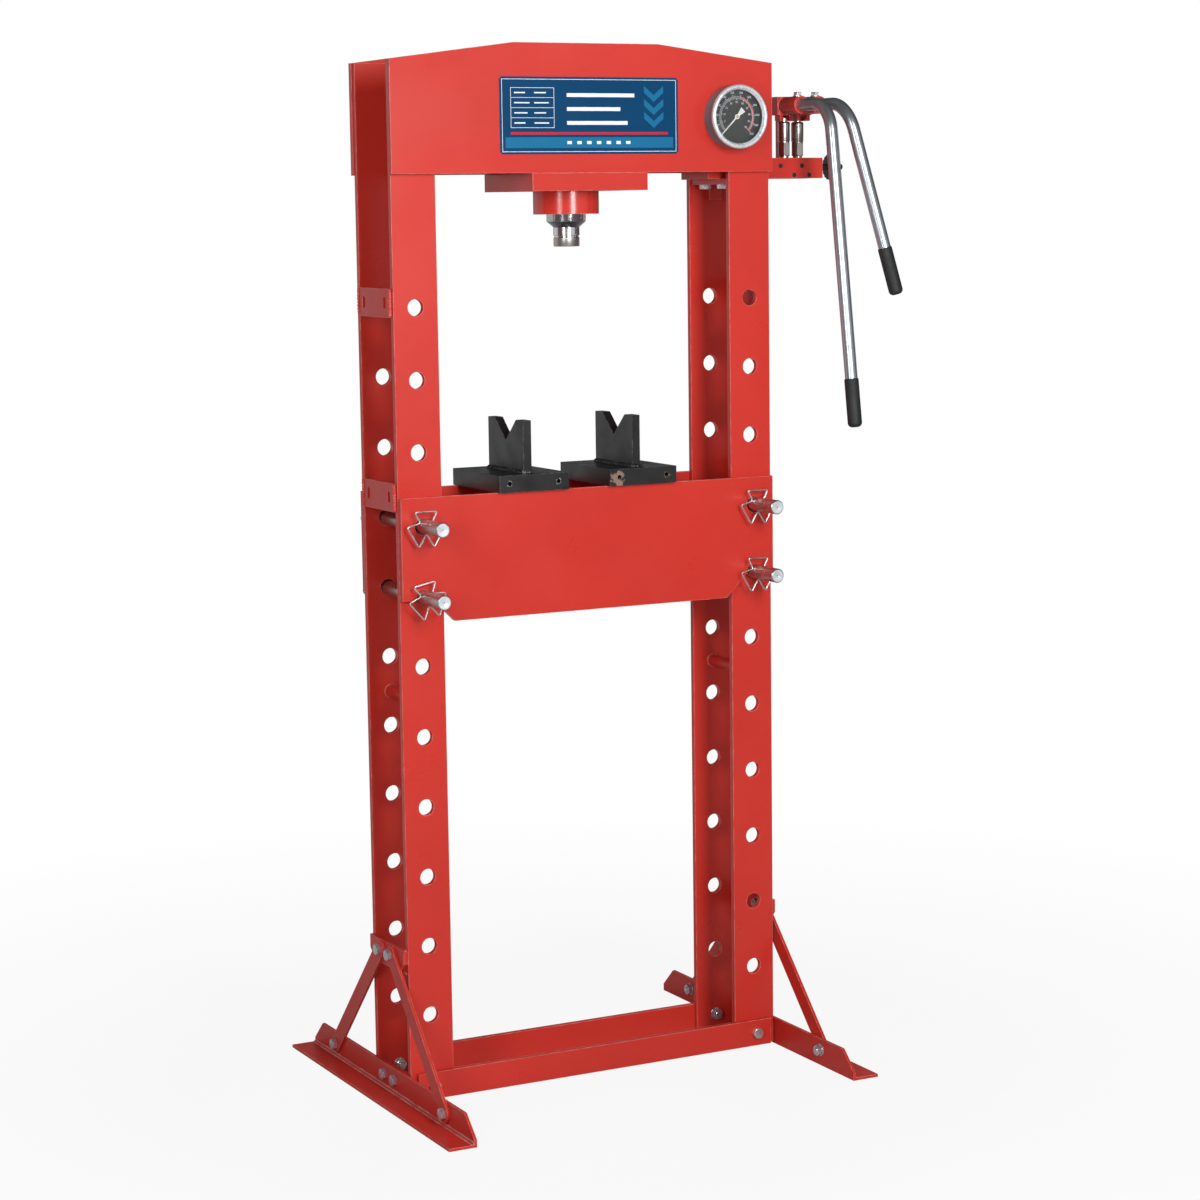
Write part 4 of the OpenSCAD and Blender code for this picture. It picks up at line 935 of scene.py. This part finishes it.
def frame_bolts():
    brace_low, brace_high = span("braces")
    brace_seat, tab_seat = brace_high.x, brace_high.x - BRACE_T
    foot_y, low_z, top_z = brace_high.y - BRACE_HALF, brace_low.z + BRACE_HALF, brace_high.z - BRACE_HALF
    bm = bmesh.new()
    for side in (-1, 1):
        for face in (-1, 1):
            out = (side, 0, 0)
            frame_bolt(bm, (side * tab_seat, face * TAB_BOLT_Y, low_z), out, TAB_GRIP)
            frame_bolt(bm, (side * brace_seat, face * foot_y, low_z), out, FOOT_GRIP)
            frame_bolt(bm, (side * brace_seat, face * TAB_BOLT_Y, top_z), out, BRACKET_GRIP)
    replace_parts(add_piece("hex_foot_bolts", bm, zinc, "frame"), "foot_bolts")
    rail_y = span("base_rails")[1].y
    bm = bmesh.new()
    for side in (-1, 1):
        for face in (-1, 1):
            frame_bolt(bm, (side * COLUMN_X, face * rail_y, low_z), (0, face, 0), RAIL_GRIP)
    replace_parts(add_piece("hex_rail_bolts", bm, zinc, "frame"), "rail_bolts")


def pump_bolts():
    low, high = span("pump_bolts")
    seat_z = low.z + HEAD_H
    bm = bmesh.new()
    for y in (low.y + BOLT_AF / 2, high.y - BOLT_AF / 2):
        seat = Vector(((low.x + high.x) / 2, y, seat_z))
        hexagon(bm, stand(seat, (0, 0, -1)), BOLT_AF, 0.0, HEAD_H)
        lathe(bm, [(BOLT_R, 0.0), (BOLT_R, high.z - seat_z)], seat, UP, sides=24)
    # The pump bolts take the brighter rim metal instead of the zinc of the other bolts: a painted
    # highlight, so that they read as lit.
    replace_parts(add_piece("hex_pump_bolts", bm, bright, "frame"), "pump_bolts")


def clamp_screws():
    """The screw on each lever's socket that holds its handle."""
    for body, node in (("inner_lever", "lever_inner"), ("outer_lever", "lever_outer")):
        put = stand((middle_of(node).x, CLAMP_Y, LEVER_Z + CLAMP_RISE), UP)
        bm = bmesh.new()
        washer(bm, put, 0.0, CLAMP_WASHER_R, CLAMP_WASHER_T)
        hexagon(bm, put, CLAMP_AF, CLAMP_WASHER_T, CLAMP_TOP)
        add_piece("clamp_screw_" + body, bm, zinc, body)


frame_bolts()
pump_bolts()
clamp_screws()


# Weld beads

BATTEN_H = 48 * MM
BEAD_STEP, BEAD_SIDES, BEAD_SINK = 1.6 * MM, 8, 1 * MM
SIDE_BEAD, BRACKET_BEAD, TIE_BEAD = 3.6 * MM, 2.4 * MM, 2.6 * MM
TAPER_SHARE, TAPER_STEPS = 0.35, 3
TAB_LOW_END, TAB_HIGH_END, BRACKET_END, BRACKET_CUT = 2 * MM, 1 * MM, 0.5 * MM, 12 * MM
V_PLATE_HALF_X, V_PLATE_HALF_Y, V_BASE_H = 7.5 * MM, 68.5 * MM, 29 * MM
V_BEAD, V_BEAD_STEP, V_BEAD_SIDES = 5.0 * MM, 1.8 * MM, 10
weld_dice = random.Random(7)


def ripple(i, depth, rate=1.9, scatter=0.07):
    """How thick a bead is at its step i, as a share of its usual thickness."""
    return 1.0 + depth * math.sin(i * rate) + weld_dice.uniform(-scatter, scatter)


def line_weld(bm, start, end, radius):
    """A rippled bead along a line."""
    start, end = Vector(start), Vector(end)
    count = max(6, int((end - start).length / BEAD_STEP))
    path = [start.lerp(end, i / count) for i in range(count + 1)]
    radii = []
    for i in range(count + 1):
        taper = min(1.0, TAPER_SHARE + i / TAPER_STEPS, TAPER_SHARE + (count - i) / TAPER_STEPS)
        radii.append(radius * taper * ripple(i, depth=0.16))
    sweep(bm, path, radii, BEAD_SIDES)


def circle_weld(bm, middle, axis, radius, bead):
    """A rippled bead round a rod or tube."""
    put = stand(middle, axis)
    count = max(24, int(2 * math.pi * radius / BEAD_STEP))
    path = [put @ Vector((radius * math.cos(a), radius * math.sin(a), 0.0)) for a in around(count)]
    sweep(bm, path, [bead * ripple(i, depth=0.14) for i in range(count)], BEAD_SIDES, closed=True)


def frame_welds():
    batten_low, batten_high = span("side_battens")
    tab_low, tab_high = span("foot_tabs")
    bracket_low, bracket_high = span("brace_brackets")
    tie_low, tie_high = span("column_ties")
    tie_z, tie_r = (tie_low.z + tie_high.z) / 2, (tie_high.z - tie_low.z) / 2
    side_x, bar_y = batten_high.x - BEAD_SINK, batten_high.y
    seams = [(batten_low.z, batten_low.z + BATTEN_H), (batten_high.z - BATTEN_H, batten_high.z),
             (tab_low.z + TAB_LOW_END, tab_high.z - TAB_HIGH_END)]
    ends = [(bracket_low.z + BRACKET_END, bar_y - BRACKET_CUT), (bracket_high.z - BRACKET_END, bar_y)]
    bm = bmesh.new()
    for side in (-1, 1):
        x = side * side_x
        for face in (-1, 1):
            for low, high in seams:
                line_weld(bm, (x, face * bar_y, low), (x, face * bar_y, high), SIDE_BEAD)
            for z, reach in ends:
                edge = bracket_high.y - BEAD_SINK
                line_weld(bm, (x, face * reach, z), (x, face * edge, z), BRACKET_BEAD)
            circle_weld(bm, (side * COLUMN_X, face * (bar_y - BEAD_SINK), tie_z), BACK, tie_r, TIE_BEAD)
    add_piece("weld_beads", bm, red, "frame")


def v_block_welds():
    """A fillet right round the foot of each upright plate."""
    for node, body, paint in (("v_block_left", "left_v_block", black_left),
                              ("v_block_right", "right_v_block", black_right)):
        low, high = span(node)
        middle = Vector(((low.x + high.x) / 2, (low.y + high.y) / 2, low.z + V_BASE_H))
        corners = [middle + Vector((sx * V_PLATE_HALF_X, sy * V_PLATE_HALF_Y, 0.0))
                   for sx, sy in ((-1, -1), (1, -1), (1, 1), (-1, 1))]
        path = []
        for first, second in zip(corners, corners[1:] + corners[:1]):
            steps = int((second - first).length / V_BEAD_STEP)
            path += [first.lerp(second, i / steps) for i in range(steps)]
        radii = [V_BEAD * ripple(i, depth=0.13, rate=1.7, scatter=0.08) for i in range(len(path))]
        bm = bmesh.new()
        sweep(bm, path, radii, V_BEAD_SIDES, closed=True)
        add_piece("weld_" + body, bm, paint, body)


frame_welds()
v_block_welds()


# Rounded inner corner of the angle feet

FILLET_R, FILLET_STEPS, FILLET_INSET, FOOT_T = 6 * MM, 6, 0.5 * MM, 5 * MM


def foot_fillets():
    inner_x = span("braces")[1].x - BRACE_T
    half = span("feet")[1].y - FILLET_INSET
    section = [(inner_x, FOOT_T)]
    for i in range(FILLET_STEPS + 1):
        a = math.radians(90 * i / FILLET_STEPS)
        section.append((inner_x + FILLET_R * (1 - math.sin(a)), FOOT_T + FILLET_R * (1 - math.cos(a))))
    bm = bmesh.new()
    for side in (-1, 1):
        capped_skin(bm, [[bm.verts.new((side * x, y, z)) for x, z in section] for y in (-half, half)])
    add_piece("foot_fillets", bm, red, "frame")


foot_fillets()


# Handles and grips, with the length of each handle's leg and its splay in degrees

HANDLES = {"inner": (510 * MM, 0.0), "outer": (290 * MM, 12.0)}
HANDLE_R, BEND_R, BEND_DEG = 11 * MM, 55 * MM, 81.7
TUBE_START, BEND_START = 16 * MM, 105 * MM
STRAIGHT_STEPS, BEND_STEPS, LEG_STEPS, TUBE_SIDES = 8, 24, 12, 40
GRIP_LEN, GRIP_END = 84 * MM, 5 * MM
GRIP_BORE_R, GRIP_R, GRIP_ROUND = 11.1 * MM, 12.5 * MM, 8 * MM
GRIP_EDGE, GRIP_EDGE_H = 0.6 * MM, 1.2 * MM


def handle_path(x, leg, splay):
    """Centre line of a handle from its socket to its end, and its last direction."""
    straight = BEND_START - TUBE_START
    spots = [Vector((0, -TUBE_START - straight * i / STRAIGHT_STEPS, 0)) for i in range(STRAIGHT_STEPS)]
    for i in range(BEND_STEPS + 1):
        a = math.radians(BEND_DEG * i / BEND_STEPS)
        spots.append(Vector((0, -BEND_START - BEND_R * math.sin(a), -BEND_R * (1 - math.cos(a)))))
    end = math.radians(BEND_DEG)
    along = Vector((0, -math.cos(end), -math.sin(end)))
    spots += [spots[-1] + along * (leg * i / LEG_STEPS) for i in range(1, LEG_STEPS + 1)]
    turn = Matrix.Rotation(math.radians(-splay), 3, "Y")
    place = Vector((x, 0, LEVER_Z))
    return [place + turn @ spot for spot in spots], turn @ along


def handles():
    grip = [(GRIP_BORE_R, 0.0), (GRIP_R - GRIP_EDGE, 0.0), (GRIP_R, GRIP_EDGE_H)]
    grip += arc((GRIP_R - GRIP_ROUND, GRIP_LEN - GRIP_ROUND), (GRIP_ROUND, GRIP_ROUND), 0, 90, steps=6)
    for name, (leg, splay) in HANDLES.items():
        body = name + "_lever"
        path, along = handle_path(middle_of("lever_" + name).x, leg, splay)
        bm = bmesh.new()
        sweep(bm, path, HANDLE_R, TUBE_SIDES)
        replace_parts(add_piece("tube_" + name, bm, tube, body), "handle_" + name)
        bm = bmesh.new()
        lathe(bm, grip, path[-1] + along * (GRIP_END - GRIP_LEN), along, TUBE_SIDES)
        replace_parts(add_piece("sleeve_" + name, bm, rubber, body), "grip_" + name)


handles()


# Turned parts of the ram, with profiles of (inset from the radius, height) in millimetres

NOSE_TIP = [(1.6, 0.0), (0.5, 0.5), (0.0, 1.5), (0.0, 15.2), (0.4, 15.5), (1.5, 15.6)]
NOSE_NECK = [(1.5, 15.5), (1.5, 18.4), (0.4, 18.5), (0.0, 18.8), (0.0, 32.7), (0.3, 33.0)]
CONE_FOOT_INSET = 0.2
CONE_TOP = [(0.5, 9.4), (1.0, 9.6)]
ROD_FOOT = [(0.8, 9.4), (0.1, 9.8), (0.0, 10.4)]


def inset(radius, pairs):
    return [(radius - gap, height) for gap, height in pairs]


def turned(name, profile, foot_z, material):
    """A piece of the ram turned about its axis."""
    bm = bmesh.new()
    lathe(bm, mm(profile), (0, 0, foot_z), UP, sides=72)
    return add_piece(name, bm, material, "ram")


def ram_turnings():
    low, high = span("ram_nose")
    nose_r = (high.x - low.x) / 2 / MM
    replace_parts(turned("turned_nose", inset(nose_r, NOSE_NECK), low.z, nickel), "ram_nose")
    turned("nose_tip", inset(nose_r, NOSE_TIP), low.z, dull)
    low, high = span("ram_rod")
    rod_r, length = (high.x - low.x) / 2 / MM, (high.z - low.z) / MM
    cone = [(nose_r - CONE_FOOT_INSET, 0.0)] + inset(rod_r, CONE_TOP)
    rod = inset(rod_r, ROD_FOOT) + [(rod_r, length)]
    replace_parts(turned("turned_rod", rod, low.z, nickel), "ram_rod")
    # The cone takes the darker copy of the rod's chrome, a painted reflection.
    turned("rod_cone", cone, low.z, cone_painted_dark)


# Turned parts of the pump

BARREL_NECK = mm([(8.25, 0.0), (8.25, 4.4)])
BARREL_HEX_AF, BARREL_HEX_LOW, BARREL_HEX_HIGH, BARREL_R = 20.5 * MM, 4 * MM, 28 * MM, 11 * MM
BARREL_UPPER = mm([(10.2, 27.8), (10.2, 29.0), (10.8, 29.4), (11.0, 30.0), (11.0, 55.0), (10.7, 55.3),
                   (10.7, 56.3), (11.0, 56.6), (11.0, 61.0), (10.5, 62.4), (9.5, 64.0)])
PORTS = [(-31 * MM, 22 * MM), (13 * MM, 22 * MM), (-3 * MM, 6 * MM), (28 * MM, 6 * MM)]
PLUG_R, PLUG_IN_R, PLUG_PROUD, PLUG_T, PLUG_EDGE = 4.2 * MM, 3.4 * MM, 0.4 * MM, 6 * MM, 0.2 * MM
DOME_R, DOME_FOOT, DOME_RISE, DOME_DEG, DOME_SINK = 5.4 * MM, 2.2 * MM, 3.8 * MM, 77, 0.1 * MM


def pump_turnings():
    block_top = span("pump_barrels")[0].z
    bm = bmesh.new()
    for node in ("plunger_inner", "plunger_outer"):
        axis = middle_of(node)
        foot = Vector((axis.x, axis.y, block_top))
        lathe(bm, BARREL_NECK, foot, UP, sides=36)
        hexagon(bm, stand(foot, UP), BARREL_HEX_AF, BARREL_HEX_LOW, BARREL_HEX_HIGH,
                turned_low=True, limit=BARREL_R)
        lathe(bm, BARREL_UPPER, foot, UP, sides=48)
    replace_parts(add_piece("turned_barrels", bm, satin, "frame"), "pump_barrels")


def port_plugs():
    """Black set screws in the front of the pump block."""
    low = span("pump_block")[0]
    pump_x = middle_of("plunger_inner").x
    profile = [(PLUG_R - PLUG_EDGE, 0.0), (PLUG_R, PLUG_EDGE), (PLUG_R, PLUG_PROUD),
               (PLUG_IN_R, PLUG_PROUD), (PLUG_IN_R, PLUG_T)]
    bm = bmesh.new()
    for across, up in PORTS:
        lathe(bm, profile, (pump_x + across, low.y - PLUG_PROUD, low.z + up), BACK, sides=24)
    add_piece("port_plugs", bm, dial_black, "frame")


def spindle_dome():
    """The rounded end of the release spindle."""
    end = span("release_knob")[1].x
    axis = middle_of("release_knob")
    profile = [(DOME_R, 0.0)] + arc((0.0, DOME_FOOT), (DOME_R, DOME_RISE), 0, DOME_DEG, steps=5)
    bm = bmesh.new()
    lathe(bm, profile, (end - DOME_SINK, axis.y, axis.z), RIGHT, sides=32)
    add_piece("spindle_dome", bm, plastic, "release_valve")


# Bezel of the gauge: a rolled lip over a plain skirt, as closed outlines in millimetres

LIP = [(52.6, 6.2), (53.9, 6.2), (54.4, 6.8)] + arc((50.4, 9.0), (4.0, 4.0), 0, 90, steps=5)
LIP += arc((50.4, 10.4), (2.6, 2.6), 90, 145, steps=3)[1:]
LIP += [(46.4, 8.0), (45.7, 7.2), (45.7, 7.0), (52.6, 7.0)]
SKIRT = [(52.6, 0.0), (53.6, 0.0), (54.0, 0.6), (54.0, 6.2), (52.6, 6.2)]


def bezel_ring(profile):
    """A ring turned about the gauge's axis, forward from the back of the bezel."""
    bm = bmesh.new()
    put = stand((GAUGE_X, span("gauge_bezel")[1].y, GAUGE_Z), FRONT)
    rows = turned_rows(bm, mm(profile), put, sides=96)
    skin(bm, rows + [rows[0]])
    return bm


def gauge_bezel():
    lip, skirt = bezel_ring(LIP), bezel_ring(SKIRT)
    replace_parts(add_piece("rolled_bezel", lip, bright, "frame"), "gauge_bezel")
    add_piece("bezel_skirt", skirt, case_metal, "frame")


ram_turnings()
pump_turnings()
port_plugs()
spindle_dome()
gauge_bezel()
